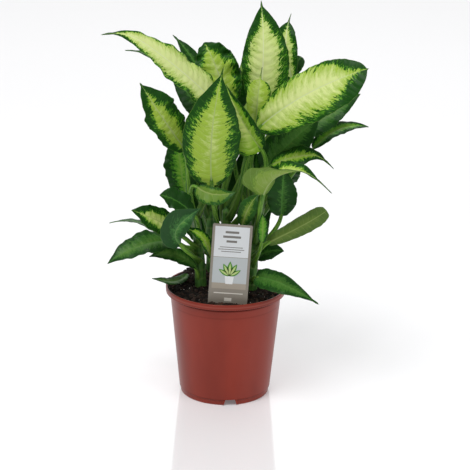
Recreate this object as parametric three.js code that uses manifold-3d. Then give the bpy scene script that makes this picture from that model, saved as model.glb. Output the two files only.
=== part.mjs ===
import * as THREE from "three";
import { mergeVertices } from "three/addons/utils/BufferGeometryUtils.js";
import Module from "manifold-3d";

const wasm = await Module();
wasm.setup();

// A dieffenbachia of five stems in a 12 cm nursery pot, in millimetres, +Z up.
// The origin is the middle of the pot's base, and the plant's front faces -Y.

// Driving dimensions of the pot
const potHeight = 110.5;
const rimRadius = 59.5;
const rimBandHeight = 6;
const wallTopRadius = 55.1;
const wallBottomRadius = 45.4;
const footRadius = 44;
const footHeight = 5.6;
const wallThickness = 1.5;
const bandThickness = 1.7;
const ledgeThickness = 1.3;
const floorThickness = 1.8;
const potSegments = 40;

// Driving dimensions of the drain channels under the pot
const channelCount = 3;
const channelFrontTurn = 0.135;
const channelWidth = 13;
const channelTopWidth = 9.5;
const channelHeight = 6;
const channelInnerEnd = 14;
const drainHoleRadius = 3.5;
const drainHoleSides = 12;
const drainHolePlace = 29;

// Driving dimensions of the soil and of the gap between pieces that touch
const clearance = 0.3;
const soilEdgeHeight = 106.8;
const soilMound = 7;
const soilSlopeWidth = 15;
const soilRiseToBack = 0.1;
const soilRiseToLeft = 0.055;
const soilLumps = 0.7;
const soilRings = 6;
const soilSegments = 28;

// Driving dimensions of the label
const labelWidth = 38;
const labelTop = 188.5;
const labelCorner = 1.5;
const labelShoulder = 100;
const spikeTop = 88;
const spikeTopHalfWidth = 8;
const spikeTip = 62;
const spikeTipHalfWidth = 4;
const labelThickness = 0.9;
const labelPlace = new THREE.Vector3(2, -47.5, soilEdgeHeight);
const labelLean = 0.055;

// Driving dimensions of the stems and leaves
const stemBaseRadius = 6.6;
const stemTopRadius = 4.8;
const stemDepth = 26;
const stemSides = 8;
const stemSteps = 5;
const petioleRootRadius = 2.3;
const petioleEndRadius = 1.5;
const petioleSides = 5;
const petioleSteps = 5;
const petioleOverlap = 0.07;
const petioleSetBack = 1.7;
const petioleSpread = 0.75;
const petioleRise = 0.3;
const petioleArrival = 0.36;
const shallowRoot = 25;
const bladeThickness = 1.2;
const midribDepth = 1.5;
const midribTaper = 0.9;
const hookStart = 0.7;
const foldSoftness = 0.1;
const waveShift = 0.37;
const bladeColumns = [-1, -0.5, 0, 0.5, 1];
const tipHalfWidth = 0.6;
const dripHalfWidth = 1.1;
const smallBladeWidth = 30;
const largeBladeRows = [0, 0.09, 0.22, 0.36, 0.5, 0.64, 0.77, 0.9, 1];
const smallBladeRows = [0, 0.1, 0.28, 0.46, 0.64, 0.83, 1];
const dripBodyRows = [0, 0.1, 0.26, 0.44, 0.62, 0.79, 0.93, 1];
const smallDripBodyRows = [0, 0.13, 0.38, 0.65, 0.88, 1];

// Each stem: its place in the soil, its lean in mm over its height, and its height above the soil
const stems = [
  { name: "stem_1", place: [-24, -12], lean: [-6, -5], height: 74 },
  { name: "stem_2", place: [0, -14], lean: [0, -3], height: 85 },
  { name: "stem_3", place: [25, -12], lean: [4, -5], height: 82 },
  { name: "stem_4", place: [24, 20], lean: [5, 5], height: 90 },
  { name: "stem_5", place: [-14, 24], lean: [-3, 5], height: 83 },
];

// What a leaf has where its row says nothing else.
// fold: degrees that each half rises from the midrib. twist: degrees of turn at the tip.
// curl: sag of the margins. wave, waves, phase: the margin's waves, as a share of the width.
// belly: where the blade is widest. point: how drawn out the tip is. neck: how drawn out the base is.
// drip: the thin tip's share of the length. skew: how much wider one half is than the other.
const plainLeaf = {
  fold: 12,
  twist: 0,
  curl: 0.08,
  wave: 0.035,
  waves: 2.5,
  phase: 0,
  belly: 0.42,
  point: 1.1,
  neck: 1,
  drip: 0,
  skew: 0,
  hook: [0, 0, 0],
};

// Each leaf: its stem (0 is the soil itself), the height of its root on it, the base, middle and tip
// of its midrib, the way its upper side faces, its width, and how far the tip hooks over.
const leaves = [
  { name: "leaf_01", stem: 2, root: 64, base: [0, -4, 283], mid: [-52, -26, 338], tip: [-118, -40, 385],
    face: [0.36, -0.63, 0.69], width: 37.5, fold: 8, wave: 0.06, waves: 3.5, belly: 0.34, point: 1.22, drip: 0.05, hook: [0, 0, -18] },
  { name: "leaf_02", stem: 2, root: 42, base: [-14, -36, 222], mid: [-14, -54, 281], tip: [-4, -62, 344],
    face: [0, -0.95, 0.31], width: 55, fold: 10, wave: 0.02, belly: 0.45, point: 1.25, drip: 0.05 },
  { name: "leaf_03", stem: 1, root: 68, base: [-40, -24, 255], mid: [-61, -46, 292], tip: [-81, -58, 327],
    face: [0.28, -0.83, 0.47], width: 38, fold: 16, wave: 0.06, waves: 3, belly: 0.5, point: 1.05, neck: 1.1, drip: 0.03 },
  { name: "leaf_04", stem: 1, root: 54, base: [-39, 0, 200], mid: [-46, 4, 234], tip: [-48, 12, 268],
    face: [-0.17, -0.94, 0.28], width: 32, fold: 10, wave: 0.07, belly: 0.4 },
  { name: "leaf_05", stem: 1, root: 46, base: [-29, -40, 193], mid: [-46, -50, 211], tip: [-63, -56, 219],
    face: [0.21, -0.75, 0.63], width: 23, wave: 0.09, belly: 0.55, point: 1.05, neck: 1.3, skew: 0.1 },
  { name: "leaf_06", stem: 1, root: 38, base: [-45, -34, 174], mid: [-66, -52, 193], tip: [-89, -66, 207],
    face: [0.19, -0.75, 0.64], width: 29, wave: 0.05, belly: 0.45 },
  { name: "leaf_07", stem: 1, root: 24, base: [-43, -54, 169], mid: [-46, -64, 189], tip: [-23, -62, 209],
    face: [0.23, -0.96, 0.18], width: 32, fold: 34, wave: 0.04, belly: 0.6, point: 1.6, neck: 1.7, skew: -0.3 },
  { name: "leaf_08", stem: 1, root: 29, base: [-52, -22, 163], mid: [-83, -42, 164], tip: [-113, -54, 149],
    face: [-0.19, -0.61, 0.77], width: 29.5, wave: 0.05, belly: 0.36, point: 1.1 },
  { name: "leaf_09", stem: 1, root: 6, base: [-28, -22, 135], mid: [-51, -26, 150], tip: [-75, -22, 146],
    face: [0.13, -0.61, 0.78], width: 17, neck: 1.4 },
  { name: "leaf_10", stem: 5, root: 16, base: [-58, 6, 154], mid: [-86, 12, 170], tip: [-117, 22, 166],
    face: [0.26, 0.02, 0.96], width: 19, drip: 0.08 },
  { name: "leaf_11", stem: 0, root: 0, base: [-38, 2, 121], mid: [-52, -22, 121], tip: [-71, -42, 133],
    face: [-0.04, -0.53, 0.85], width: 13, hook: [0, 0, -2], rootAt: [-41, 16, 97] },
  { name: "leaf_12", stem: 5, root: 61, base: [2, 16, 288], mid: [-11, 12, 325], tip: [-24, 18, 352],
    face: [-0.08, -0.96, 0.28], width: 43, wave: 0.12, waves: 3.6, belly: 0.5, point: 0.95, hook: [0, 5, -3] },
  { name: "leaf_13", stem: 5, root: 54, base: [-20, 27, 305], mid: [-37, 34, 333], tip: [-55, 44, 352],
    face: [0.28, -0.83, 0.48], width: 15.5, point: 1.3, drip: 0.08, leave: [-1, -0.4] },
  { name: "leaf_14", stem: 2, root: 80, base: [30, 4, 294], mid: [33, 0, 343], tip: [30, 12, 393],
    face: [0, -0.95, 0.31], width: 46, fold: 10, wave: 0.03, waves: 3.5, belly: 0.39, point: 0.95, drip: 0.05, skew: 0.1 },
  { name: "leaf_15", stem: 3, root: 77, base: [27, -14, 274], mid: [28, -22, 305], tip: [32, -14, 334],
    face: [0.09, -0.95, 0.3], width: 27, fold: 34, belly: 0.62, point: 0.5, neck: 1.5, drip: 0.2 },
  { name: "leaf_16", stem: 2, root: 70, base: [28, -28, 277], mid: [73, -52, 317], tip: [129, -62, 344],
    face: [-0.1, -0.87, 0.48], width: 50, fold: 8, wave: 0.03, waves: 3, belly: 0.62, point: 0.56, drip: 0.02, skew: 0.14 },
  { name: "leaf_17", stem: 4, root: 60, base: [66, -6, 264], mid: [96, 2, 285], tip: [128, 14, 303],
    face: [-0.1, -0.89, 0.44], width: 27, wave: 0.06, waves: 3 },
  { name: "leaf_18", stem: 4, root: 52, base: [82, -4, 252], mid: [107, 4, 270], tip: [137, 14, 270],
    face: [-0.26, -0.47, 0.84], width: 20 },
  { name: "leaf_19", stem: 3, root: 69, base: [34, -14, 234], mid: [60, -22, 263], tip: [88, -14, 288],
    face: [0, -0.95, 0.31], width: 38, wave: 0.06 },
  { name: "leaf_20", stem: 3, root: 55, base: [41, -27, 241], mid: [69, -38, 254], tip: [97, -44, 255],
    face: [-0.07, -0.67, 0.74], width: 22, wave: 0.06, drip: 0.09, hook: [4, 0, -12] },
  { name: "leaf_21", stem: 3, root: 48, base: [34, -50, 217], mid: [51, -68, 245], tip: [93, -66, 245],
    face: [-0.16, 0.97, 0.16], width: 49, fold: 34, twist: -135, belly: 0.3, point: 0.95, drip: 0.1, skew: 0.2, hook: [6, 0, -20] },
  { name: "leaf_22", stem: 3, root: 38, base: [53, -24, 190], mid: [53, -32, 216], tip: [54, -34, 241],
    face: [0, -0.95, 0.31], width: 29.5, wave: 0.06 },
  { name: "leaf_23", stem: 3, root: 29, base: [39, -38, 167], mid: [72, -56, 191], tip: [94, -66, 209],
    face: [0, 0.95, -0.31], width: 18.5, belly: 0.66, point: 0.34, neck: 0.7 },
  { name: "leaf_24", stem: 3, root: 6, base: [29, -36, 132], mid: [56, -58, 132], tip: [89, -76, 119],
    face: [0.11, -0.85, 0.52], width: 26, fold: 30, wave: 0.05, belly: 0.3, point: 1.3, drip: 0.03, skew: 0.15 },
  { name: "leaf_25", stem: 3, root: 14, base: [29, -4, 140], mid: [43, -8, 149], tip: [57, -8, 149],
    face: [-0.08, -0.79, 0.61], width: 18 },
  { name: "leaf_26", stem: 3, root: 22, base: [34, -44, 169], mid: [35, -50, 187], tip: [34, -44, 199],
    face: [0, -0.95, 0.31], width: 11 },
  { name: "leaf_27", stem: 2, root: 24, base: [15, -35, 183], mid: [21, -39, 202], tip: [30, -36, 215],
    face: [-0.16, -0.91, 0.38], width: 18, belly: 0.5 },
  { name: "leaf_28", stem: 1, root: 57, base: [-28, -47, 225], mid: [-12, -51, 219], tip: [9, -49, 221],
    face: [0.02, -0.88, 0.47], width: 19, wave: 0.1, waves: 2, skew: 0.25 },
  { name: "leaf_29", stem: 2, root: 11, base: [-15, -40, 152], mid: [-23, -42, 173], tip: [-40, -40, 181],
    face: [0.57, -0.45, 0.68], width: 17 },
  { name: "leaf_30", stem: 2, root: 57, base: [33, -42, 260], mid: [14, -42, 288], tip: [-2, -28, 320],
    face: [-0.3, -0.94, 0.13], width: 36, fold: 22, belly: 0.3, point: 1.3, skew: -0.3 },
  { name: "leaf_31", stem: 4, root: 72, base: [62, 22, 314], mid: [55, 28, 346], tip: [60, 42, 375],
    face: [-0.17, -0.94, 0.3], width: 23, wave: 0.05, waves: 3, belly: 0.45, point: 0.62, drip: 0.14 },
  { name: "leaf_32", stem: 4, root: 83, base: [46, 34, 305], mid: [59, 40, 318], tip: [71, 50, 331],
    face: [-0.26, -0.82, 0.5], width: 19, belly: 0.7, point: 0.5 },
  { name: "leaf_33", stem: 1, root: 70, base: [-19, 14, 286], mid: [-58, 22, 327], tip: [-101, 34, 338],
    face: [0.47, -0.34, 0.81], width: 22, point: 1.3, drip: 0.08, leave: [1, 1] },
  { name: "leaf_34", stem: 5, root: 74, base: [6, 28, 280], mid: [8, 26, 304], tip: [9, 28, 325],
    face: [0, -0.95, 0.31], width: 26 },
  { name: "leaf_35", stem: 5, root: 67, base: [0, 52, 240], mid: [-8, 86, 290], tip: [-12, 114, 322],
    face: [-0.1, 0.9, 0.4], width: 44 },
  { name: "leaf_36", stem: 4, root: 77, base: [22, 42, 250], mid: [30, 78, 305], tip: [34, 100, 345],
    face: [0.2, 0.9, 0.4], width: 46 },
  { name: "leaf_37", stem: 4, root: 63, base: [36, 36, 225], mid: [76, 62, 272], tip: [112, 80, 296],
    face: [0.3, 0.7, 0.6], width: 44 },
  { name: "leaf_38", stem: 5, root: 45, base: [-31, 34, 205], mid: [-46, 58, 238], tip: [-64, 76, 258],
    face: [-0.4, 0.7, 0.6], width: 29 },
  { name: "leaf_39", stem: 5, root: 8, base: [-20, 44, 138], mid: [-30, 52, 160], tip: [-38, 62, 184],
    face: [0.2, -0.85, 0.45], width: 29.5 },
  { name: "leaf_40", stem: 4, root: 10, base: [30, 42, 138], mid: [31, 54, 176], tip: [29, 68, 228],
    face: [-0.1, -0.85, 0.45], width: 29, belly: 0.6, point: 0.6 },
  { name: "leaf_41", stem: 4, root: 41, base: [38, 26, 185], mid: [57, 50, 214], tip: [64, 76, 226],
    face: [0.4, 0.5, 0.8], width: 34 },
  { name: "leaf_42", stem: 5, root: 24, base: [-3, 50, 160], mid: [-7, 60, 192], tip: [-11, 76, 222],
    face: [0, -0.85, 0.5], width: 40 },
  { name: "leaf_43", stem: 5, root: 34, base: [-26, 44, 176], mid: [-36, 55, 206], tip: [-46, 70, 234],
    face: [0.25, -0.85, 0.45], width: 34 },
  { name: "leaf_44", stem: 4, root: 27, base: [18, 38, 168], mid: [18, 49, 200], tip: [15, 62, 234],
    face: [-0.1, -0.85, 0.45], width: 34 },
  { name: "leaf_45", stem: 4, root: 56, base: [6, 40, 225], mid: [6, 84, 262], tip: [2, 120, 275],
    face: [0, 0.7, 0.7], width: 42 },
  { name: "leaf_46", stem: 5, root: 80, base: [-15, 42, 266], mid: [-35, 58, 284], tip: [-58, 74, 311],
    face: [-0.2, -0.75, 0.6], width: 25 },
];

function vector(values) {
  return new THREE.Vector3(...values);
}

// The geometry's bare triangles with shared corners, and without those that have no area
function weld(geometry) {
  const bare = new THREE.BufferGeometry();
  bare.setAttribute("position", geometry.getAttribute("position").clone());
  if (geometry.index) {
    bare.setIndex(geometry.index.clone());
  }
  const merged = mergeVertices(bare, 1e-4);
  const corners = [];
  for (let i = 0; i < merged.index.count; i += 3) {
    const [a, b, c] = [merged.index.getX(i), merged.index.getX(i + 1), merged.index.getX(i + 2)];
    if (a !== b && b !== c && c !== a) {
      corners.push(a, b, c);
    }
  }
  merged.setIndex(corners);
  return merged;
}

function toSolid(geometry) {
  const merged = weld(geometry);
  const mesh = new wasm.Mesh({
    numProp: 3,
    vertProperties: new Float32Array(merged.getAttribute("position").array),
    triVerts: new Uint32Array(merged.index.array),
  });
  return new wasm.Manifold(mesh);
}

function toGeometry(solid) {
  const mesh = solid.getMesh();
  const geometry = new THREE.BufferGeometry();
  geometry.setAttribute("position", new THREE.BufferAttribute(new Float32Array(mesh.vertProperties), 3));
  geometry.setIndex(Array.from(mesh.triVerts));
  geometry.computeVertexNormals();
  return geometry;
}

function upright(geometry) {
  return geometry.rotateX(Math.PI / 2);
}

function smooth(value) {
  const share = THREE.MathUtils.clamp(value, 0, 1);
  return share * share * (3 - 2 * share);
}

// A round tube along a curve whose radius changes, with a flat cap at each end
function taperedTube(curve, steps, radiusAt, sides) {
  const frames = curve.computeFrenetFrames(steps, false);
  const positions = [];
  const corners = [];
  for (let i = 0; i <= steps; i += 1) {
    const centre = curve.getPointAt(i / steps);
    const radius = radiusAt(i / steps);
    for (let j = 0; j < sides; j += 1) {
      const turn = (2 * Math.PI * j) / sides;
      const point = centre.clone();
      point.addScaledVector(frames.normals[i], radius * Math.cos(turn));
      point.addScaledVector(frames.binormals[i], radius * Math.sin(turn));
      positions.push(...point.toArray());
    }
  }
  for (let i = 0; i < steps; i += 1) {
    for (let j = 0; j < sides; j += 1) {
      const a = i * sides + j;
      const b = i * sides + ((j + 1) % sides);
      corners.push(a, b, b + sides, a, b + sides, a + sides);
    }
  }
  const last = steps * sides;
  for (let j = 1; j < sides - 1; j += 1) {
    corners.push(0, j + 1, j, last, last + j, last + j + 1);
  }
  const geometry = new THREE.BufferGeometry();
  geometry.setAttribute("position", new THREE.Float32BufferAttribute(positions, 3));
  geometry.setIndex(corners);
  return geometry;
}

// The wall's outer radius at a height above the base
function wallRadius(height) {
  const share = (height - footHeight) / (potHeight - rimBandHeight - footHeight);
  return THREE.MathUtils.lerp(wallBottomRadius, wallTopRadius, share);
}

// A bar of trapezium section along a radius, from the pot's middle outwards
function radialBar(bottomWidth, topWidth, bottom, top, from, to, turn) {
  const section = new THREE.Shape();
  section.moveTo(-bottomWidth / 2, bottom);
  section.lineTo(bottomWidth / 2, bottom);
  section.lineTo(topWidth / 2, top);
  section.lineTo(-topWidth / 2, top);
  section.closePath();
  const bar = new THREE.ExtrudeGeometry(section, { depth: to - from, bevelEnabled: false });
  return upright(bar).translate(0, -from, 0).rotateZ(turn);
}

function makePot() {
  const bandBottom = potHeight - rimBandHeight;
  const ledge = bandBottom + ledgeThickness;
  const bandInner = rimRadius - bandThickness;
  const ledgeInner = wallRadius(ledge) - wallThickness;
  const footInner = footRadius - wallThickness + 0.4;
  const profile = [
    [0, 0],
    [footRadius - 0.8, 0],
    [footRadius, 0.8],
    [footRadius + 0.5, footHeight - 0.7],
    [wallBottomRadius, footHeight],
    [wallRadius(bandBottom - 0.2), bandBottom - 0.2],
    [rimRadius - 1.3, bandBottom],
    [rimRadius - 0.1, bandBottom + 0.9],
    [rimRadius, potHeight - 1.7],
    [rimRadius - 0.4, potHeight - 0.5],
    [rimRadius - 1, potHeight],
    [bandInner, potHeight - 0.5],
    [bandInner, ledge],
    [ledgeInner, ledge],
    [wallBottomRadius - wallThickness, footHeight + 0.4],
    [footInner, floorThickness],
    [0, floorThickness],
  ];
  const outline = profile.map(([radius, height]) => new THREE.Vector2(radius, height));
  let pot = toSolid(upright(new THREE.LatheGeometry(outline, potSegments)));
  for (let i = 0; i < channelCount; i += 1) {
    const turn = channelFrontTurn + (2 * Math.PI * i) / channelCount;
    const roof = channelHeight + wallThickness;
    const wider = 2 * wallThickness;
    const housing = radialBar(channelWidth + wider, channelTopWidth + wider, floorThickness / 2, roof,
      channelInnerEnd - wallThickness, wallRadius(roof) - 0.7, turn);
    pot = pot.add(toSolid(housing));
  }
  for (let i = 0; i < channelCount; i += 1) {
    const turn = channelFrontTurn + (2 * Math.PI * i) / channelCount;
    const spread = (channelWidth - channelTopWidth) / channelHeight;
    const channel = radialBar(channelWidth + spread, channelTopWidth, -1, channelHeight,
      channelInnerEnd, wallTopRadius, turn);
    const depth = 4 * wallThickness;
    const round = new THREE.CylinderGeometry(drainHoleRadius, drainHoleRadius, depth, drainHoleSides);
    const hole = upright(round);
    hole.translate(0, -drainHolePlace, channelHeight + wallThickness / 2).rotateZ(turn);
    pot = pot.subtract(toSolid(channel)).subtract(toSolid(hole));
  }
  return toGeometry(pot);
}

// The soil is mounded towards the back and the left, and its surface is uneven
function soilHeight(x, y) {
  const radius = Math.hypot(x, y);
  const inward = smooth((rimRadius - bandThickness - radius) / soilSlopeWidth);
  const lumps = Math.sin(x / 5.3 + 1) * Math.cos(y / 4.7) + 0.7 * Math.sin((x + 2 * y) / 6.1);
  const mound = soilMound + soilRiseToBack * y - soilRiseToLeft * x;
  return soilEdgeHeight + inward * (mound + soilLumps * lumps);
}

function makeSoil(cuts) {
  const band = potHeight - rimBandHeight + ledgeThickness + clearance;
  const bottom = channelHeight + wallThickness + clearance;
  const edgeRadius = rimRadius - bandThickness - clearance;
  const neckRadius = wallRadius(band) - wallThickness - clearance;
  const rows = [];
  for (let i = 1; i <= soilRings; i += 1) {
    const radius = (edgeRadius * i) / soilRings;
    rows.push([radius, null]);
  }
  rows.push([edgeRadius, band]);
  rows.push([neckRadius, band]);
  rows.push([wallRadius(bottom) - wallThickness - clearance, bottom]);
  const positions = [0, 0, soilHeight(0, 0)];
  for (const [radius, height] of rows) {
    for (let j = 0; j < soilSegments; j += 1) {
      const turn = (2 * Math.PI * j) / soilSegments;
      const x = radius * Math.cos(turn);
      const y = radius * Math.sin(turn);
      positions.push(x, y, height === null ? soilHeight(x, y) : height);
    }
  }
  positions.push(0, 0, bottom);
  const corners = [];
  const foot = positions.length / 3 - 1;
  for (let j = 0; j < soilSegments; j += 1) {
    const next = (j + 1) % soilSegments;
    corners.push(0, 1 + j, 1 + next);
    for (let i = 0; i < rows.length - 1; i += 1) {
      const a = 1 + i * soilSegments + j;
      const b = 1 + i * soilSegments + next;
      corners.push(a, a + soilSegments, b + soilSegments, a, b + soilSegments, b);
    }
    corners.push(foot, foot - soilSegments + next, foot - soilSegments + j);
  }
  const geometry = new THREE.BufferGeometry();
  geometry.setAttribute("position", new THREE.Float32BufferAttribute(positions, 3));
  geometry.setIndex(corners);
  let soil = toSolid(geometry);
  for (const cut of cuts) {
    soil = soil.subtract(cut);
  }
  return toGeometry(soil);
}

// A flat card with a spike below that stands in the soil
function labelGeometry(grow) {
  const half = labelWidth / 2 + grow;
  const spikeTipHalf = spikeTipHalfWidth + grow;
  const spikeTopHalf = spikeTopHalfWidth + grow;
  const cornerX = half - labelCorner;
  const cornerZ = labelTop - labelCorner;
  const card = new THREE.Shape();
  card.moveTo(0, spikeTip - grow);
  card.lineTo(spikeTipHalf, spikeTip + spikeTipHalfWidth);
  card.lineTo(spikeTopHalf, spikeTop);
  card.lineTo(half, labelShoulder - grow);
  card.lineTo(half, cornerZ);
  card.absarc(cornerX, cornerZ, labelCorner, 0, Math.PI / 2, false);
  card.lineTo(-cornerX, labelTop);
  card.absarc(-cornerX, cornerZ, labelCorner, Math.PI / 2, Math.PI, false);
  card.lineTo(-half, labelShoulder - grow);
  card.lineTo(-spikeTopHalf, spikeTop);
  card.lineTo(-spikeTipHalf, spikeTip + spikeTipHalfWidth);
  card.closePath();
  const depth = labelThickness + 2 * grow;
  const flat = new THREE.ExtrudeGeometry(card, { depth, bevelEnabled: false, curveSegments: 3 });
  upright(flat).translate(0, depth / 2, -labelPlace.z);
  return flat.rotateY(labelLean).translate(...labelPlace.toArray());
}

function stemCurve(stem) {
  const [x, y] = stem.place;
  const [leanX, leanY] = stem.lean;
  const ground = soilHeight(x, y);
  return new THREE.QuadraticBezierCurve3(
    new THREE.Vector3(x, y, ground - stemDepth),
    new THREE.Vector3(x, y, ground + stem.height * 0.3),
    new THREE.Vector3(x + leanX, y + leanY, ground + stem.height),
  );
}

function stemTube(stem, grow) {
  const radiusAt = (share) => THREE.MathUtils.lerp(stemBaseRadius, stemTopRadius, share) + grow;
  return taperedTube(stemCurve(stem), stemSteps, radiusAt, stemSides);
}

// The midrib's point and frame: along it, out of the upper side, and across the blade
function leafFrame(leaf, share) {
  const base = vector(leaf.base);
  const middle = vector(leaf.mid);
  const tip = vector(leaf.tip);
  const hook = vector(leaf.hook);
  const control = middle.multiplyScalar(2).addScaledVector(base, -0.5).addScaledVector(tip, -0.5);
  const late = Math.max(0, (share - hookStart) / (1 - hookStart));
  const rest = 1 - share;
  const point = base.clone().multiplyScalar(rest * rest);
  point.addScaledVector(control, 2 * share * rest);
  point.addScaledVector(tip, share * share);
  point.addScaledVector(hook, late * late);
  const along = control.clone().sub(base).multiplyScalar(2 * rest);
  along.addScaledVector(tip.clone().sub(control), 2 * share);
  along.addScaledVector(hook, (2 * late) / (1 - hookStart));
  along.normalize();
  const normal = vector(leaf.face);
  normal.addScaledVector(along, -normal.dot(along)).normalize();
  const side = along.clone().cross(normal);
  const turn = THREE.MathUtils.degToRad(leaf.twist) * share;
  const up = normal.clone().multiplyScalar(Math.cos(turn)).addScaledVector(side, -Math.sin(turn));
  const across = side.clone().multiplyScalar(Math.cos(turn)).addScaledVector(normal, Math.sin(turn));
  return { point, along, up, across };
}

// The blade's half width at a share of its length, as a share of its widest
function bladeOutline(leaf, share) {
  if (share < leaf.belly) {
    const inward = 1 - share / leaf.belly;
    return Math.sqrt(Math.max(0, 1 - inward * inward)) ** leaf.neck;
  }
  const outward = Math.min(1, (share - leaf.belly) / (1 - leaf.belly - leaf.drip));
  return (1 - outward * outward) ** leaf.point;
}

// A point of the blade's middle surface, v from -1 at one margin to 1 at the other
function bladePoint(leaf, frame, share, v, lift) {
  const outline = bladeOutline(leaf, share);
  const thin = leaf.drip && share > leaf.belly ? dripHalfWidth * Math.min(1, (1 - share) / leaf.drip) : 0;
  const body = (leaf.width / 2) * outline * (1 + leaf.skew * Math.sign(v));
  const half = Math.max(tipHalfWidth, body, thin);
  const fold = THREE.MathUtils.degToRad(leaf.fold);
  const away = Math.hypot(v, foldSoftness) - foldSoftness;
  const rise = half * away * Math.sin(fold);
  const sag = leaf.curl * half * v * v;
  const beat = leaf.waves * share + leaf.phase + (v > 0 ? waveShift : 0);
  const wave = leaf.wave * leaf.width * outline * v * v * Math.sin(2 * Math.PI * beat);
  const point = frame.point.clone();
  point.addScaledVector(frame.across, half * v * Math.cos(fold));
  return point.addScaledVector(frame.up, rise - sag + wave + lift);
}

// The shares of the length at which the blade's rows stand; a drip tip starts at a row
function bladeShares(leaf) {
  const small = leaf.width < smallBladeWidth;
  if (!leaf.drip) {
    return small ? smallBladeRows : largeBladeRows;
  }
  const body = small ? smallDripBodyRows : dripBodyRows;
  return [...body.map((share) => share * (1 - leaf.drip)), 1];
}

function bladeGeometry(leaf) {
  const shares = bladeShares(leaf);
  const rows = shares.length - 1;
  const wide = bladeColumns.length;
  const upper = [];
  const lower = [];
  for (let i = 0; i <= rows; i += 1) {
    const share = shares[i];
    const frame = leafFrame(leaf, share);
    for (const v of bladeColumns) {
      const rib = v === 0 ? midribDepth * (1 - midribTaper * share) : 0;
      upper.push(...bladePoint(leaf, frame, share, v, bladeThickness / 2).toArray());
      lower.push(...bladePoint(leaf, frame, share, v, -bladeThickness / 2 - rib).toArray());
    }
  }
  const under = (rows + 1) * wide;
  const corners = [];
  for (let i = 0; i < rows; i += 1) {
    for (let j = 0; j < wide - 1; j += 1) {
      const a = i * wide + j;
      const b = a + 1;
      const c = a + wide;
      const d = c + 1;
      corners.push(a, b, d, a, d, c);
      corners.push(under + a, under + d, under + b, under + a, under + c, under + d);
    }
    const left = i * wide;
    const right = left + wide - 1;
    corners.push(left, left + wide, under + left + wide, left, under + left + wide, under + left);
    corners.push(right, under + right + wide, right + wide, right, under + right, under + right + wide);
  }
  const end = rows * wide;
  for (let j = 0; j < wide - 1; j += 1) {
    corners.push(j, under + j + 1, j + 1, j, under + j, under + j + 1);
    corners.push(end + j, end + j + 1, under + end + j + 1, end + j, under + end + j + 1, under + end + j);
  }
  const geometry = new THREE.BufferGeometry();
  geometry.setAttribute("position", new THREE.Float32BufferAttribute([...upper, ...lower], 3));
  geometry.setIndex(corners);
  return geometry;
}

// The petiole leaves its stem outwards, rises, and runs into the blade along the midrib
function petioleCurve(leaf) {
  const end = leafFrame(leaf, petioleOverlap);
  const goal = end.point.clone().addScaledVector(end.up, -0.5 * midribDepth);
  const stem = stems[leaf.stem - 1];
  const root = stem
    ? stemCurve(stem).getPointAt((leaf.root + stemDepth) / (stem.height + stemDepth))
    : vector(leaf.rootAt);
  const outward = leaf.leave ? vector([...leaf.leave, 0]) : goal.clone().sub(root).setZ(0);
  outward.normalize();
  if (stem) {
    root.addScaledVector(outward, petioleSetBack);
  }
  const reach = root.distanceTo(goal);
  const start = outward.clone().multiplyScalar(petioleSpread).add(new THREE.Vector3(0, 0, 1)).normalize();
  const rising = root.clone().addScaledVector(start, petioleRise * reach);
  const arriving = goal.clone().addScaledVector(end.along, -petioleArrival * reach);
  return new THREE.CubicBezierCurve3(root, rising, arriving, goal);
}

function petioleTube(leaf, grow) {
  const radiusAt = (share) => THREE.MathUtils.lerp(petioleRootRadius, petioleEndRadius, share) + grow;
  return taperedTube(petioleCurve(leaf), petioleSteps, radiusAt, petioleSides);
}

function makeLeaf(leaf) {
  return toGeometry(toSolid(bladeGeometry(leaf)).add(toSolid(petioleTube(leaf, 0))));
}

function makeStem(stem, grown) {
  let solid = toSolid(stemTube(stem, 0));
  for (const leaf of grown) {
    solid = solid.subtract(toSolid(petioleTube(leaf, clearance)));
  }
  return toGeometry(solid);
}

function finish(colour, roughness) {
  return new THREE.MeshStandardMaterial({ color: colour, roughness, metalness: 0 });
}

const plant = new THREE.Group();

function place(name, geometry, material) {
  const mesh = new THREE.Mesh(geometry, material);
  mesh.name = name;
  plant.add(mesh);
}

const grownLeaves = leaves.map((leaf) => ({ ...plainLeaf, ...leaf }));
const soilCuts = [toSolid(labelGeometry(clearance))];
stems.forEach((stem, index) => {
  const grown = grownLeaves.filter((leaf) => leaf.stem === index + 1);
  soilCuts.push(toSolid(stemTube(stem, clearance)));
  place(stem.name, makeStem(stem, grown), finish(0x5e8f3a, 0.5));
});
for (const leaf of grownLeaves) {
  if (leaf.root < shallowRoot) {
    soilCuts.push(toSolid(petioleTube(leaf, clearance)));
  }
  place(leaf.name, makeLeaf(leaf), finish(0x3f8a3c, 0.45));
}
place("pot", makePot(), finish(0x84403a, 0.5));
place("soil", makeSoil(soilCuts), finish(0x2a1f19, 0.95));
place("plant_label", labelGeometry(0), finish(0xd9d6cd, 0.6));

export default plant;
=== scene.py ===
import math
from functools import partial
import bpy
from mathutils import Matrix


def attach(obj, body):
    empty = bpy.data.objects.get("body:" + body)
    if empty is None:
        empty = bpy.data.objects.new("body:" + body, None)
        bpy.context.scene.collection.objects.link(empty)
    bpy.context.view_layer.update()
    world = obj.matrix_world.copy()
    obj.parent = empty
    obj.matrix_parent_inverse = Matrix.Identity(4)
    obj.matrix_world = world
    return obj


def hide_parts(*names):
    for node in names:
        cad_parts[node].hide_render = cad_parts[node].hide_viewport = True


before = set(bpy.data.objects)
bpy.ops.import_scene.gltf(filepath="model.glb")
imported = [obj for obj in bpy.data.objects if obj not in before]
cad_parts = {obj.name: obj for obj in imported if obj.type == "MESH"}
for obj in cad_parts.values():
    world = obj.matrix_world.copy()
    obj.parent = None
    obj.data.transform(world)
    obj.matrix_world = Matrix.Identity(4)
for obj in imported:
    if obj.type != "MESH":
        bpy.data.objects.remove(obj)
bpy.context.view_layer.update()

from types import SimpleNamespace

import bmesh
import bpy
from mathutils import Matrix, Vector, noise

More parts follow.
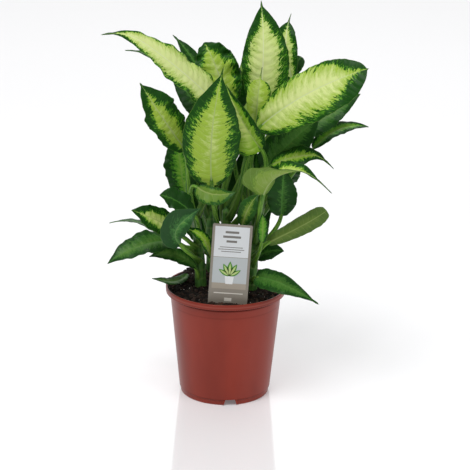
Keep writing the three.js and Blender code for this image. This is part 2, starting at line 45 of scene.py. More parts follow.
# A dieffenbachia of five stems in a 12 cm nursery pot. Settings are in millimetres, meshes in metres.
metre = 0.001
closeTogether = 1e-6
fullTurn = 2 * math.pi
halfContrast = (0.35, 0.65, 0, 1)  # eases a noise's middle values to the whole range
print("frame loaded")


def linear(hexColour):  # an sRGB hex colour as linear RGBA
    shares = [int(hexColour[i:i + 2], 16) / 255 for i in (1, 3, 5)]
    return [c / 12.92 if c <= 0.04045 else ((c + 0.055) / 1.055) ** 2.4 for c in shares] + [1]


def addNode(tree, kind, *values):  # a node with its values in order, or as one dictionary of inputs
    name, settings, *order = (kind, {}) if isinstance(kind, str) else kind
    node = tree.nodes.new(name)
    for key, value in settings.items():
        setattr(node, key, value)
    inOrder = zip(order[0] if order else range(len(values)), values)
    for key, value in values[0].items() if values and isinstance(values[0], dict) else inOrder:
        if isinstance(value, bpy.types.Node):
            value = next(socket for socket in value.outputs if socket.enabled)
        if isinstance(value, bpy.types.NodeSocket):
            tree.links.new(value, node.inputs[key])
        else:
            isColour = isinstance(value, str) and value.startswith("#")
            node.inputs[key].default_value = linear(value) if isColour else value
    return node


# Kinds of nodes: Blender's name, the settings, and the inputs that values fill in order. On Object
# coordinates a noise's scale counts per metre, so 500 gives spots 2 mm apart.
plus = ("ShaderNodeMath", {"operation": "ADD"})
minus = ("ShaderNodeMath", {"operation": "SUBTRACT"})
times = ("ShaderNodeMath", {"operation": "MULTIPLY"})
timesPlus = ("ShaderNodeMath", {"operation": "MULTIPLY_ADD"})
clampedTimes = ("ShaderNodeMath", {"operation": "MULTIPLY", "use_clamp": True})
clampedTimesPlus = ("ShaderNodeMath", {"operation": "MULTIPLY_ADD", "use_clamp": True})
over = ("ShaderNodeMath", {"operation": "DIVIDE"})
power = ("ShaderNodeMath", {"operation": "POWER"})
size = ("ShaderNodeMath", {"operation": "ABSOLUTE"})
sign = ("ShaderNodeMath", {"operation": "SIGN"})
larger = ("ShaderNodeMath", {"operation": "MAXIMUM"})
smaller = ("ShaderNodeMath", {"operation": "MINIMUM"})
below = ("ShaderNodeMath", {"operation": "LESS_THAN"})
above = ("ShaderNodeMath", {"operation": "GREATER_THAN"})
sine = ("ShaderNodeMath", {"operation": "SINE"})
cosine = ("ShaderNodeMath", {"operation": "COSINE"})
root = ("ShaderNodeMath", {"operation": "SQRT"})
growth = ("ShaderNodeMath", {"operation": "EXPONENT"})
radians = ("ShaderNodeMath", {"operation": "RADIANS"})
fraction = ("ShaderNodeMath", {"operation": "FRACT"})
vectorPlus = ("ShaderNodeVectorMath", {"operation": "ADD"})
vectorMinus = ("ShaderNodeVectorMath", {"operation": "SUBTRACT"})
unit = ("ShaderNodeVectorMath", {"operation": "NORMALIZE"})
cross = ("ShaderNodeVectorMath", {"operation": "CROSS_PRODUCT"})
apart = ("ShaderNodeVectorMath", {"operation": "DISTANCE"})
scaled = ("ShaderNodeVectorMath", {"operation": "SCALE"}, (0, 3))
aboutAxis = ("ShaderNodeVectorRotate", {"rotation_type": "AXIS_ANGLE"}, (0, 2, 3))
mixNumbers = ("ShaderNodeMix", {}, (0, 2, 3))
mixVectors = ("ShaderNodeMix", {"data_type": "VECTOR"}, (0, 4, 5))
mixColours = ("ShaderNodeMix", {"data_type": "RGBA"}, (0, 6, 7))
ranged = ("ShaderNodeMapRange", {})
eased = ("ShaderNodeMapRange", {"interpolation_type": "SMOOTHSTEP"})
noiseTexture = ("ShaderNodeTexNoise", {}, ("Vector", "Scale", "Detail", "Roughness"))
reliefBump = ("ShaderNodeBump", {}, ("Height", "Strength", "Distance"))
randomNumber = ("FunctionNodeRandomValue", {"data_type": "FLOAT"}, (2, 3, "Seed"))
randomVector = ("FunctionNodeRandomValue", {"data_type": "FLOAT_VECTOR"}, (0, 1, "Seed"))
storedVector = (
    "GeometryNodeStoreNamedAttribute", {"data_type": "FLOAT_VECTOR", "domain": "POINT"},
    ("Geometry", "Name", "Value"))
withMaterial = ("GeometryNodeSetMaterial", {}, ("Geometry", "Material"))
combine = "ShaderNodeCombineXYZ"
separate = "ShaderNodeSeparateXYZ"


def newMaterial(name, paint, *settings):  # a material whose shader takes the inputs that paint works out
    material = bpy.data.materials.new(name)
    material.use_nodes = True
    material.node_tree.nodes.clear()
    add = partial(addNode, material.node_tree)
    add("ShaderNodeOutputMaterial", {"Surface": add("ShaderNodeBsdfPrincipled", paint(add, *settings))})
    return material


def newPiece(name, mesh=None):
    piece = bpy.data.objects.new(name, mesh or bpy.data.meshes.new(name))
    bpy.context.scene.collection.objects.link(piece)
    return piece


def plainMesh(piece):  # the evaluated piece as a plain mesh, without its modifiers
    graph = bpy.context.evaluated_depsgraph_get()
    mesh = bpy.data.meshes.new_from_object(
        piece.evaluated_get(graph), preserve_all_data_layers=True, depsgraph=graph)
    mesh.name = piece.name
    piece.modifiers.clear()
    piece.data = mesh
    return piece


def newTree(name, inputs):  # a Geometry Nodes tree with its named inputs, listed by kind
    tree = bpy.data.node_groups.new(name, "GeometryNodeTree")
    for kind, labels in inputs.items():
        for label in labels.split():
            tree.interface.new_socket(label, in_out="INPUT", socket_type="NodeSocket" + kind)
    tree.interface.new_socket("Geometry", in_out="OUTPUT", socket_type="NodeSocketGeometry")
    add = partial(addNode, tree)
    return tree, add, SimpleNamespace(**{socket.name: socket for socket in add("NodeGroupInput").outputs})


def grow(name, tree, values, start=None):  # a piece that a Geometry Nodes tree makes from its inputs
    piece = newPiece(name, start)
    modifier = piece.modifiers.new("growth", "NODES")
    modifier.node_group = tree
    for socket in tree.interface.items_tree:
        if socket.in_out == "INPUT" and socket.name in values:
            value = values[socket.name]
            modifier[socket.identifier] = float(value) if socket.socket_type == "NodeSocketFloat" else value
    return plainMesh(piece)


# Camera: 1.6 m away and 18 degrees up, as the photograph's perspective shows
view = {"middle": (8.5, 0, 162.5), "distance": 1600, "rise": 17.95, "roll": 0.8, "lens": 124.77, "sensor": 36}
cameraData = bpy.data.cameras.new("camera")
cameraData.lens = view["lens"]
cameraData.sensor_width = view["sensor"]
camera = newPiece("camera", cameraData)
viewRise = math.radians(view["rise"])
away = Vector((0, -math.cos(viewRise), math.sin(viewRise)))
camera.location = (Vector(view["middle"]) + away * view["distance"]) * metre
turned = away.to_track_quat("Z", "Y").to_matrix() @ Matrix.Rotation(math.radians(view["roll"]), 3, "Z")
camera.rotation_euler = turned.to_euler()
bpy.context.scene.camera = camera
print("camera placed")


# Studio: a glossy pale laminate floor that mirrors the pot's foot, a white room, a large soft light from the
# front left, a fill and a back light
studio = {
    "floorSide": 16000, "floor": "#f4f4f6", "floorRoughness": 0.07, "floorGlow": 0.15, "floorGloss": 1.7,
    "room": "#ffffff", "roomStrength": 0.28, "backdropStrength": 1.14, "backdropFrom": 0.3, "backdropTo": 0.8,
    "lights": [
        {"name": "keyLight", "place": (-500, -900, 2100), "side": 1000, "power": 30},
        {"name": "fillLight", "place": (1500, -900, 1100), "side": 1100, "power": 5},
        {"name": "backLight", "place": (200, 1600, 1700), "side": 1400, "power": 6},
    ],
    "aim": (0, 0, 180),
}


def laminatePaint(add):
    return {
        "Base Color": studio["floor"], "Roughness": studio["floorRoughness"],
        "Specular IOR Level": studio["floorGloss"], "Emission Color": studio["floor"],
        "Emission Strength": studio["floorGlow"]}


bpy.context.scene.view_settings.view_transform = "Standard"
half = studio["floorSide"] / 2 * metre
floorMesh = bpy.data.meshes.new("floor")
floorCorners = [(-half, -half, 0), (half, -half, 0), (half, half, 0), (-half, half, 0)]
floorMesh.from_pydata(floorCorners, [], [(0, 1, 2, 3)])
floorMesh.materials.append(newMaterial("paleLaminate", laminatePaint))
floor = newPiece("floor", floorMesh)
world = bpy.data.worlds.new("room")
bpy.context.scene.world = world
world.use_nodes = True
world.node_tree.nodes.clear()
add = partial(addNode, world.node_tree)
direction = add(separate, add("ShaderNodeTexCoord").outputs["Generated"])
towardsBack = add(
    eased, direction.outputs[1], studio["backdropFrom"], studio["backdropTo"], studio["roomStrength"],
    studio["backdropStrength"])
add("ShaderNodeOutputWorld", {"Surface": add("ShaderNodeBackground", studio["room"], towardsBack)})
for lamp in studio["lights"]:
    lampData = bpy.data.lights.new(lamp["name"], "AREA")
    lampData.shape = "SQUARE"
    lampData.size = lamp["side"] * metre
    lampData.energy = lamp["power"]
    light = newPiece(lamp["name"], lampData)
    light.location = Vector(lamp["place"]) * metre
    aim = Vector(lamp["place"]) - Vector(studio["aim"])
    light.rotation_euler = aim.to_track_quat("Z", "Y").to_euler()
print("studio lit")


# The growth rule: heights above the soil and places of the stems, and how petioles leave them
soilForm = {
    "edgeHeight": 106.8, "mound": 7, "slopeWidth": 15, "riseToBack": 0.1, "riseToLeft": 0.055, "lumps": 0.7,
    "innerRadius": 57.8,
}
stemForm = {"depth": 26, "bend": 0.3, "samples": 64}
stems = [
    {"node": "stem_1", "place": (-24, -12), "lean": (-6, -5), "height": 74},
    {"node": "stem_2", "place": (0, -14), "lean": (0, -3), "height": 85},
    {"node": "stem_3", "place": (25, -12), "lean": (4, -5), "height": 82},
    {"node": "stem_4", "place": (24, 20), "lean": (5, 5), "height": 90},
    {"node": "stem_5", "place": (-14, 24), "lean": (-3, 5), "height": 83},
]


def soilHeight(x, y):  # mounded towards the back and the left, and uneven
    share = min(1, max(0, (soilForm["innerRadius"] - math.hypot(x, y)) / soilForm["slopeWidth"]))
    inward = share * share * (3 - 2 * share)
    uneven = math.sin(x / 5.3 + 1) * math.cos(y / 4.7) + 0.7 * math.sin((x + 2 * y) / 6.1)
    mound = soilForm["mound"] + soilForm["riseToBack"] * y - soilForm["riseToLeft"] * x
    return soilForm["edgeHeight"] + inward * (mound + soilForm["lumps"] * uneven)


def stemPoints(stem):  # foot, bend and top of the stem's curve
    x, y = stem["place"]
    ground = soilHeight(x, y)
    return [Vector((x, y, ground - stemForm["depth"])),
            Vector((x, y, ground + stem["height"] * stemForm["bend"])),
            Vector((x + stem["lean"][0], y + stem["lean"][1], ground + stem["height"]))]


def curvePoint(share, start, bend, end):
    return start.lerp(bend, share).lerp(bend.lerp(end, share), share)


def stemPointAt(stem, share):  # a point at a share of the stem's length
    steps = stemForm["samples"]
    points = [curvePoint(i / steps, *stemPoints(stem)) for i in range(steps + 1)]
    left = share * sum((b - a).length for a, b in zip(points, points[1:]))
    for a, b in zip(points, points[1:]):
        step = (b - a).length
        if left <= step:
            return a.lerp(b, left / step)
        left -= step
    return points[-1]


# What a leaf has where its row says nothing else. fold: degrees that each half rises. twist: degrees of
# turn at the tip. curl: sag of the margins. wave, waves, phase: the margin's waves, as a share of the
# width. belly: where it is widest. point and neck: how drawn out the tip and the base are. drip: the thin
# tip's share of the length. skew: how much wider one half is than the other. reach: how much further the
# pale middle reaches. side: and how much further on one half. light: from lime (0) to cream (1).
plainLeaf = {
    "fold": 12, "twist": 0, "curl": 0.08, "wave": 0.035, "waves": 2.5, "phase": 0, "belly": 0.42,
    "point": 1.1, "neck": 1, "hook": (0, 0, 0), "drip": 0, "skew": 0, "reach": 0, "side": 0, "light": 0.4,
}
leafForm = {
    "overlap": 0.07, "setBack": 1.7, "spread": 0.75, "rise": 0.3, "arrival": 0.36, "drop": 0.75,
    "largeWidth": 30, "largeRows": 112, "largeRing": 60, "smallRows": 72, "smallRing": 44,
    "thickness": 0.75, "rib": 1.7, "channel": 0.55, "veinSpacing": 7.2, "quilt": 0.31,
    "rootRadius": 3.1, "endRadius": 1.9, "petioleRows": 46, "petioleRing": 32,
    "fullWidth": 50, "leastFullness": 0.7, "fullnessGain": 0.4, "sheath": 0.9, "lowSheath": 0.4,
    "facing": 0.4, "seedStep": 7.3,
}
# A leaf's number, its stem (0: the soil), the height of its root on it, the midrib's base, middle and tip,
# the way its upper side faces, its width, its colouring, and what differs from the plain leaf
leafColumns = ("number", "stem", "root", "base", "mid", "tip", "face", "width", "tone")
leaves = [
    (1, 2, 64, (0, -4, 283), (-52, -26, 338), (-118, -40, 385), (0.36, -0.63, 0.69), 37.5, "cream",
     dict(reach=0.2, side=0.06, light=0.75, fold=8, wave=0.06, waves=3.5, belly=0.34, point=1.22, drip=0.05,
          hook=(0, 0, -18))),
    (2, 2, 42, (-14, -36, 222), (-14, -54, 281), (-4, -62, 344), (0, -0.95, 0.31), 55, "cream",
     dict(reach=-0.04, light=0, fold=10, wave=0.02, belly=0.45, point=1.25, drip=0.05)),
    (3, 1, 68, (-40, -24, 255), (-61, -46, 292), (-81, -58, 327), (0.28, -0.83, 0.47), 38, "cream",
     dict(reach=-0.18, light=0.1, fold=16, wave=0.06, waves=3, belly=0.5, point=1.05, neck=1.1, drip=0.03)),
    (4, 1, 54, (-39, 0, 200), (-46, 4, 234), (-48, 12, 268), (-0.17, -0.94, 0.28), 32, "green",
     dict(reach=0.05, light=0.6, fold=10, wave=0.07, belly=0.4)),
    (5, 1, 46, (-29, -40, 193), (-46, -50, 211), (-63, -56, 219), (0.21, -0.75, 0.63), 23, "dark",
     dict(reach=-0.3, wave=0.09, belly=0.55, point=1.05, neck=1.3, skew=0.1)),
    (6, 1, 38, (-45, -34, 174), (-66, -52, 193), (-89, -66, 207), (0.19, -0.75, 0.64), 29, "lime",
     dict(reach=0.0, light=0.7, wave=0.05, belly=0.45)),
    (7, 1, 24, (-43, -54, 169), (-46, -64, 189), (-23, -62, 209), (0.23, -0.96, 0.18), 32, "blue",
     dict(reach=0.1, side=0.1, fold=34, wave=0.04, belly=0.6, point=1.6, neck=1.7, skew=-0.3)),
    (8, 1, 29, (-52, -22, 163), (-83, -42, 164), (-113, -54, 149), (-0.19, -0.61, 0.77), 29.5, "dark",
     dict(reach=0.35, light=0.3, wave=0.05, belly=0.36, point=1.1)),
    (9, 1, 6, (-28, -22, 135), (-51, -26, 150), (-75, -22, 146), (0.13, -0.61, 0.78), 17, "dark",
     dict(reach=0.45, light=0.4, neck=1.4)),
    (10, 5, 16, (-58, 6, 154), (-86, 12, 170), (-117, 22, 166), (0.26, 0.02, 0.96), 19, "dark",
     dict(drip=0.08)),
    (11, 0, 0, (-38, 2, 121), (-52, -22, 121), (-71, -42, 133), (-0.04, -0.53, 0.85), 13, "dark",
     dict(reach=0.5, light=0.5, hook=(0, 0, -2), rootAt=(-41, 16, 97))),
    (12, 5, 61, (2, 16, 288), (-11, 12, 325), (-24, 18, 352), (-0.08, -0.96, 0.28), 43, "cream",
     dict(reach=-0.08, light=0.2, wave=0.12, waves=3.6, belly=0.5, point=0.95, hook=(0, 5, -3))),
    (13, 5, 54, (-20, 27, 305), (-37, 34, 333), (-55, 44, 352), (0.28, -0.83, 0.48), 15.5, "dark",
     dict(point=1.3, drip=0.08, leave=(-1, -0.4))),
    (14, 2, 80, (30, 4, 294), (33, 0, 343), (30, 12, 393), (0, -0.95, 0.31), 46, "cream",
     dict(reach=-0.02, light=0.85, fold=10, wave=0.03, waves=3.5, belly=0.39, point=0.95, drip=0.05,
          skew=0.1)),
    (15, 3, 77, (27, -14, 274), (28, -22, 305), (32, -14, 334), (0.09, -0.95, 0.3), 27, "cream",
     dict(reach=0.24, side=-0.12, light=-0.15, fold=34, belly=0.62, point=0.5, neck=1.5, drip=0.2)),
    (16, 2, 70, (28, -28, 277), (73, -52, 317), (129, -62, 344), (-0.1, -0.87, 0.48), 50, "cream",
     dict(reach=0.15, side=-0.09, light=0.5, fold=8, wave=0.03, waves=3, belly=0.62, point=0.56, drip=0.02,
          skew=0.14)),
    (17, 4, 60, (66, -6, 264), (96, 2, 285), (128, 14, 303), (-0.1, -0.89, 0.44), 27, "dark",
     dict(reach=0.3, light=0.3, wave=0.06, waves=3)),
    (18, 4, 52, (82, -4, 252), (107, 4, 270), (137, 14, 270), (-0.26, -0.47, 0.84), 20, "green",
     dict(reach=0.2, light=0.5)),
    (19, 3, 69, (34, -14, 234), (60, -22, 263), (88, -14, 288), (0, -0.95, 0.31), 38, "dark",
     dict(reach=0.25, light=0.15, wave=0.06)),
    (20, 3, 55, (41, -27, 241), (69, -38, 254), (97, -44, 255), (-0.07, -0.67, 0.74), 22, "lime",
     dict(reach=-0.05, light=0.3, wave=0.06, drip=0.09, hook=(4, 0, -12))),
    (21, 3, 48, (34, -50, 217), (51, -67.6, 245), (93, -66, 245), (-0.16, 0.97, 0.16), 49, "cream",
     dict(reach=-0.1, light=0.4, fold=34, twist=-135, belly=0.3, point=0.95, drip=0.1, skew=0.2,
          hook=(6, 0, -20))),
    (22, 3, 38, (53, -24, 190), (53, -32, 216), (54, -34, 241), (0, -0.95, 0.31), 29.5, "dark",
     dict(reach=-0.02, light=0.3, wave=0.06)),
    (23, 3, 29, (39, -38, 167), (72, -56, 191), (94, -66, 209), (0, 0.95, -0.31), 18.5, "shade",
     dict(belly=0.66, point=0.34, neck=0.7)),
    (24, 3, 6, (29, -36, 132), (56, -58, 132), (89, -76, 119), (0.11, -0.85, 0.52), 26, "dark",
     dict(reach=0.35, light=0.1, fold=30, wave=0.05, belly=0.3, point=1.3, drip=0.03, skew=0.15)),
    (25, 3, 14, (29, -4, 140), (43, -8, 149), (57, -8, 149), (-0.08, -0.79, 0.61), 18, "dark", {}),
    (26, 3, 22, (34, -44, 169), (35, -50, 187), (34, -44, 199), (0, -0.95, 0.31), 11, "green",
     dict(reach=0.35, light=0.2)),
    (27, 2, 24, (15, -35, 183), (21, -39, 202), (30, -36, 215), (-0.16, -0.91, 0.38), 18, "shade",
     dict(reach=-0.2, light=0.3, belly=0.5)),
    (28, 1, 57, (-28, -47, 225), (-12, -51, 219), (9, -49, 221), (0.02, -0.88, 0.47), 19, "shade",
     dict(reach=0.12, light=-0.3, wave=0.1, waves=2, skew=0.25)),
    (29, 2, 11, (-15, -40, 152), (-23, -42, 173), (-40, -40, 181), (0.57, -0.45, 0.68), 17, "lime",
     dict(reach=0.05, light=-0.1)),
    (30, 2, 57, (33, -42, 260), (14, -42, 288), (-2, -28, 320), (-0.3, -0.94, 0.13), 36, "lime",
     dict(reach=0.2, side=-0.15, light=0.15, fold=22, belly=0.3, point=1.3, skew=-0.3)),
    (31, 4, 72, (62, 22, 314), (55, 28, 346), (60, 42, 375), (-0.17, -0.94, 0.3), 23, "cream",
     dict(reach=-0.15, light=0.9, wave=0.05, waves=3, belly=0.45, point=0.62, drip=0.14)),
    (32, 4, 83, (46, 34, 305), (59, 40, 318), (71, 50, 331), (-0.26, -0.82, 0.5), 19, "dark",
     dict(belly=0.7, point=0.5)),
    (33, 1, 70, (-19, 14, 286), (-58, 22, 327), (-101, 34, 338), (0.47, -0.34, 0.81), 22, "dark",
     dict(point=1.3, drip=0.08, leave=(1, 1))),
    (34, 5, 74, (6, 28, 280), (8, 26, 304), (9, 28, 325), (0, -0.95, 0.31), 26, "dark", {}),
    (35, 5, 67, (0, 52, 240), (-8, 86, 290), (-12, 114, 322), (-0.1, 0.9, 0.4), 44, "cream", {}),
    (36, 4, 77, (22, 42, 250), (30, 78, 305), (34, 100, 345), (0.2, 0.9, 0.4), 46, "cream", {}),
    (37, 4, 63, (36, 36, 225), (76, 62, 272), (112, 80, 296), (0.3, 0.7, 0.6), 44, "lime", {}),
    (38, 5, 45, (-31, 34, 205), (-46, 58, 238), (-64, 76, 258), (-0.4, 0.7, 0.6), 29, "dark", {}),
    (39, 5, 8, (-20, 44, 138), (-30, 52, 160), (-38, 62, 184), (0.2, -0.85, 0.45), 29.5, "dark",
     dict(reach=-0.2)),
    (40, 4, 10, (30, 42, 138), (31, 54, 176), (29, 68, 228), (-0.1, -0.85, 0.45), 29, "dark",
     dict(reach=-0.2, belly=0.6, point=0.6)),
    (41, 4, 41, (38, 26, 185), (57, 50, 214), (64, 76, 226), (0.4, 0.5, 0.8), 34, "green", {}),
    (42, 5, 24, (-3, 50, 160), (-7, 60, 192), (-11, 76, 222), (0, -0.85, 0.5), 40, "dark", dict(reach=-0.2)),
    (43, 5, 34, (-26, 44, 176), (-36, 55, 206), (-46, 70, 234), (0.25, -0.85, 0.45), 34, "dark", {}),
    (44, 4, 27, (18, 38, 168), (18, 49, 200), (15, 62, 234), (-0.1, -0.85, 0.45), 34, "dark", {}),
    (45, 4, 56, (6, 40, 225), (6, 84, 262), (2, 120, 275), (0, 0.7, 0.7), 42, "dark", {}),
    (46, 5, 80, (-15, 42, 266), (-35, 58, 284), (-58, 74, 311), (-0.2, -0.75, 0.6), 25, "dark", {}),
]

leafInputs = {
    "Int": "rows ring petioleRows petioleRing",
    "Vector": "base mid tip face hook paleMiddle petioleFoot rising arriving goal inward",
    "Float": "width fold twist curl wave waves phase belly point neck drip skew seed thickness rib channel "
             "veinSpacing quilt rootRadius endRadius sheath",
    "Material": "bladeMaterial petioleMaterial",
}
bladeForm = {
    "crowding": 0.35, "marginCrowding": 0.8, "hookFrom": 0.7, "raggedness": 0.24, "raggedBeats": 13,
    "halfBeats": 4, "dripWidth": 1.1, "leastWidth": 0.35, "foldBlur": 0.1, "halfPhase": 0.37, "ripples": 2.7,
    "rippleShare": 0.5, "veinLean": 0.2, "veinCurve": 0.02, "veinWander": 6, "wanderScale": 0.09,
    "veinStagger": 1.6, "quiltMargin": 0.72, "quiltRib": 0.14, "ribTaper": 0.85, "ribWidth": 1.7,
    "edgeRoundness": 8, "leastDrip": 0.001, "tipClosing": (1, 0.985, 0, 1), "baseClosing": (0, 0.02, 0, 1),
}
petioleForm = {
    "groove": 0.55, "grooveDepth": 0.3, "wingPlace": 1.05, "wing": 0.3, "sheathEnd": (0.5, 0.12, 0, 1),
    "sheathStart": (0, 0.06, 0.3, 1), "footClosing": (0, 0.02, 0, 1), "goalClosing": (1, 0.96, 0, 1),
}


def bezier(add, share, points):  # the tangent's two ends and the curve's point
    while len(points) > 2:
        points = [add(mixVectors, share, a, b) for a, b in zip(points, points[1:])]
    return *points, add(mixVectors, share, *points)


def bell(add, place, width):  # 1 at 0, fading within a width on both sides
    share = add(over, place, width)
    return add(growth, add(times, add(times, share, share), -1))


def closedSkin(add, grid, maps, point, material):  # a grid with its maps, moved to its points and closed
    for name, value in maps.items():
        grid = add(storedVector, grid, name, value)
    placed = add("GeometryNodeSetPosition", {"Geometry": grid, "Position": add(scaled, point, metre)})
    closed = add("GeometryNodeMergeByDistance", {"Geometry": placed, "Distance": closeTogether})
    return add(withMaterial, closed, material)


def makeBlade(add, given):  # a closed leaf blade: the ring runs over the upper side and back under it
    form = bladeForm
    grid = add("GeometryNodeMeshGrid", 1, 1, given.rows, given.ring)
    place = add(separate, add("GeometryNodeInputPosition"))
    even = add(plus, place.outputs[0], 0.5)
    dense = add(timesPlus, add(cosine, add(times, even, math.pi)), -0.5, 0.5)
    share = add(mixNumbers, form["crowding"], even, dense)
    around = add(plus, place.outputs[1], 0.5)
    upper = add(below, around, 0.5)
    across = add(minus, add(size, add(timesPlus, around, 4, -2)), 1)
    margin = add(size, across)
    outward = add(mixNumbers, form["marginCrowding"], margin, add(eased, margin, 0, 1, 0, 1))
    half = add(sign, across)
    v = add(times, half, outward)

    # The midrib's curve and the frame on it
    halfEnds = add(scaled, add(vectorPlus, given.base, given.tip), -0.5)
    bend = add(vectorPlus, halfEnds, add(scaled, given.mid, 2))
    early, late, rib = bezier(add, share, [given.base, bend, given.tip])
    hooked = add(ranged, share, form["hookFrom"], 1, 0, 1)
    ribPoint = add(vectorPlus, rib, add(scaled, given.hook, add(times, hooked, hooked)))
    hookTurn = add(scaled, given.hook, add(over, hooked, 1 - form["hookFrom"]))
    along = add(unit, add(vectorPlus, add(vectorMinus, late, early), hookTurn))
    flatSide = add(unit, add(cross, along, given.face))
    flatUp = add(cross, flatSide, along)
    turn = add(times, add(radians, given.twist), add(times, share, -1))
    side = add(aboutAxis, flatSide, along, turn)
    up = add(aboutAxis, flatUp, along, turn)

    # The outline: widest at the belly, with a slightly ragged margin
    low = add(below, share, given.belly)
    span = add(mixNumbers, low, add(minus, add(minus, 1, given.belly), given.drip), given.belly)
    fromBelly = add(over, add(size, add(minus, share, given.belly)), span)
    body = add(larger, 0, add(minus, 1, add(times, fromBelly, fromBelly)))
    outline = add(power, body, add(mixNumbers, low, given.point, add(times, given.neck, 0.5)))
    marginSpot = add(
        combine, add(times, share, form["raggedBeats"]), add(times, half, form["halfBeats"]), given.seed)
    uneven = add(noiseTexture, marginSpot, 1, 3)
    ragged = add(timesPlus, uneven, form["raggedness"], 1 - form["raggedness"] / 2)
    skewed = add(timesPlus, given.skew, half, 1)
    halfWidth = add(times, add(times, add(times, given.width, 0.5), skewed), add(times, outline, ragged))
    ahead = add(over, add(minus, 1, share), add(larger, given.drip, form["leastDrip"]))
    dripping = add(times, add(above, given.drip, form["leastDrip"]), add(minus, 1, low))
    thin = add(times, add(times, dripping, form["dripWidth"]), add(smaller, ahead, 1))
    closing = add(times, add(eased, share, *form["tipClosing"]), add(eased, share, *form["baseClosing"]))
    reach = add(times, closing, add(larger, form["leastWidth"], add(larger, halfWidth, thin)))
    x = add(times, reach, v)
    distance = add(size, x)

    # Fold, sag and waves
    fold = add(radians, given.fold)
    outwardSquare = add(times, v, v)
    blurred = add(root, add(plus, outwardSquare, form["foldBlur"] ** 2))
    foldRise = add(times, add(times, reach, add(minus, blurred, form["foldBlur"])), add(sine, fold))
    sag = add(times, add(times, given.curl, reach), outwardSquare)
    phase = add(timesPlus, add(above, across, 0), form["halfPhase"], given.phase)
    beat = add(timesPlus, given.waves, share, phase)
    swing = add(sine, add(times, beat, fullTurn))
    ripple = add(sine, add(times, add(timesPlus, beat, form["ripples"], given.seed), fullTurn))
    waveSize = add(times, add(times, given.wave, given.width), add(times, outline, outwardSquare))
    wave = add(times, waveSize, add(timesPlus, add(times, ripple, outwardSquare), form["rippleShare"], swing))

    # Side veins leave the midrib forwards and curve towards the tip; the blade swells between them
    forward = add(
        timesPlus, add(times, distance, distance), form["veinCurve"], add(times, distance, form["veinLean"]))
    evenPlace = add(minus, add(times, share, add(apart, given.base, given.tip)), forward)
    wander = add(noiseTexture, add(combine, evenPlace, distance, given.seed), form["wanderScale"], 1)
    staggered = add(timesPlus, half, form["veinStagger"], evenPlace)
    veinPlace = add(timesPlus, wander, form["veinWander"], staggered)
    veinWave = add(cosine, add(times, add(over, veinPlace, given.veinSpacing), fullTurn))
    inMargin = add(eased, outward, 1, form["quiltMargin"], 0, 1)
    offRib = add(eased, outward, 0, form["quiltRib"], 0, 1)
    quiltSize = add(times, given.quilt, add(times, inMargin, offRib))
    quilt = add(times, add(times, veinWave, quiltSize), add(times, outline, -1))

    # The midrib: a shallow channel above and a round rib below that runs out towards the tip
    taper = add(timesPlus, share, -form["ribTaper"], 1)
    ribBell = bell(add, x, add(timesPlus, share, -1, form["ribWidth"]))
    ribDepth = add(mixNumbers, upper, given.rib, given.channel)
    ribDrop = add(times, add(times, ribDepth, ribBell), add(times, taper, closing))
    edge = add(root, add(larger, 0, add(minus, 1, add(power, outward, form["edgeRoundness"]))))
    skinSide = add(times, add(times, add(timesPlus, upper, 2, -1), edge), closing)
    height = foldRise
    for part, way in (
            (sag, minus), (wave, plus), (quilt, plus), (ribDrop, minus),
            (add(times, skinSide, add(times, given.thickness, 0.5)), plus)):
        height = add(way, height, part)
    sideStep = add(scaled, side, add(times, x, add(cosine, fold)))
    point = add(vectorPlus, ribPoint, add(vectorPlus, sideStep, add(scaled, up, height)))

    # The materials read the place between the veins and the place on the blade from these
    maps = {
        "veinMap": add(combine, veinPlace, x, given.seed), "bladeMap": add(combine, share, outward, upper),
        "leafTone": given.paleMiddle}
    return closedSkin(add, grid, maps, point, given.bladeMaterial)


def makePetiole(add, given):  # a grooved leaf stalk whose lower part widens into a sheath
    form = petioleForm
    grid = add("GeometryNodeMeshGrid", 1, 1, given.petioleRows, given.petioleRing)
    place = add(separate, add("GeometryNodeInputPosition"))
    share = add(plus, place.outputs[0], 0.5)
    turn = add(timesPlus, place.outputs[1], fullTurn, math.pi)
    early, late, centre = bezier(add, share, [given.petioleFoot, given.rising, given.arriving, given.goal])
    along = add(unit, add(vectorMinus, late, early))
    side = add(unit, add(cross, along, add(mixVectors, share, given.inward, given.face)))
    up = add(cross, side, along)

    # Section: round at the back, a groove at the front and a thin wing on each side of it
    fromFront = add(size, add(minus, turn, math.pi))
    groove = bell(add, fromFront, form["groove"])
    wing = bell(add, add(minus, fromFront, form["wingPlace"]), form["wing"])
    sheathEnd = add(eased, share, *form["sheathEnd"])
    sheathStart = add(eased, share, *form["sheathStart"])
    sheath = add(times, given.sheath, add(times, sheathEnd, sheathStart))
    grooveDepth = add(timesPlus, sheathEnd, form["grooveDepth"], form["grooveDepth"])
    section = add(minus, add(timesPlus, wing, sheath, 1), add(times, groove, grooveDepth))
    evenRadius = add(mixNumbers, share, given.rootRadius, given.endRadius)
    closing = add(times, add(eased, share, *form["footClosing"]), add(eased, share, *form["goalClosing"]))
    radius = add(times, add(times, evenRadius, section), closing)
    back = add(times, add(times, radius, add(cosine, turn)), -1)
    sideStep = add(scaled, side, add(times, radius, add(sine, turn)))
    point = add(vectorPlus, centre, add(vectorPlus, add(scaled, up, back), sideStep))
    length = add(apart, given.petioleFoot, given.goal)
    maps = {
        "veinMap": add(combine, add(times, share, length), turn, given.seed),
        "bladeMap": add(combine, share, wing, sheath)}
    return closedSkin(add, grid, maps, point, given.petioleMaterial)


def makeLeafTree():
    tree, add, given = newTree("leafGrowth", leafInputs)
    both = add("GeometryNodeJoinGeometry", makeBlade(add, given))
    tree.links.new(makePetiole(add, given).outputs[0], both.inputs[0])
    add("NodeGroupOutput", add("GeometryNodeRealizeInstances", add("GeometryNodeSetShadeSmooth", both)))
    return tree


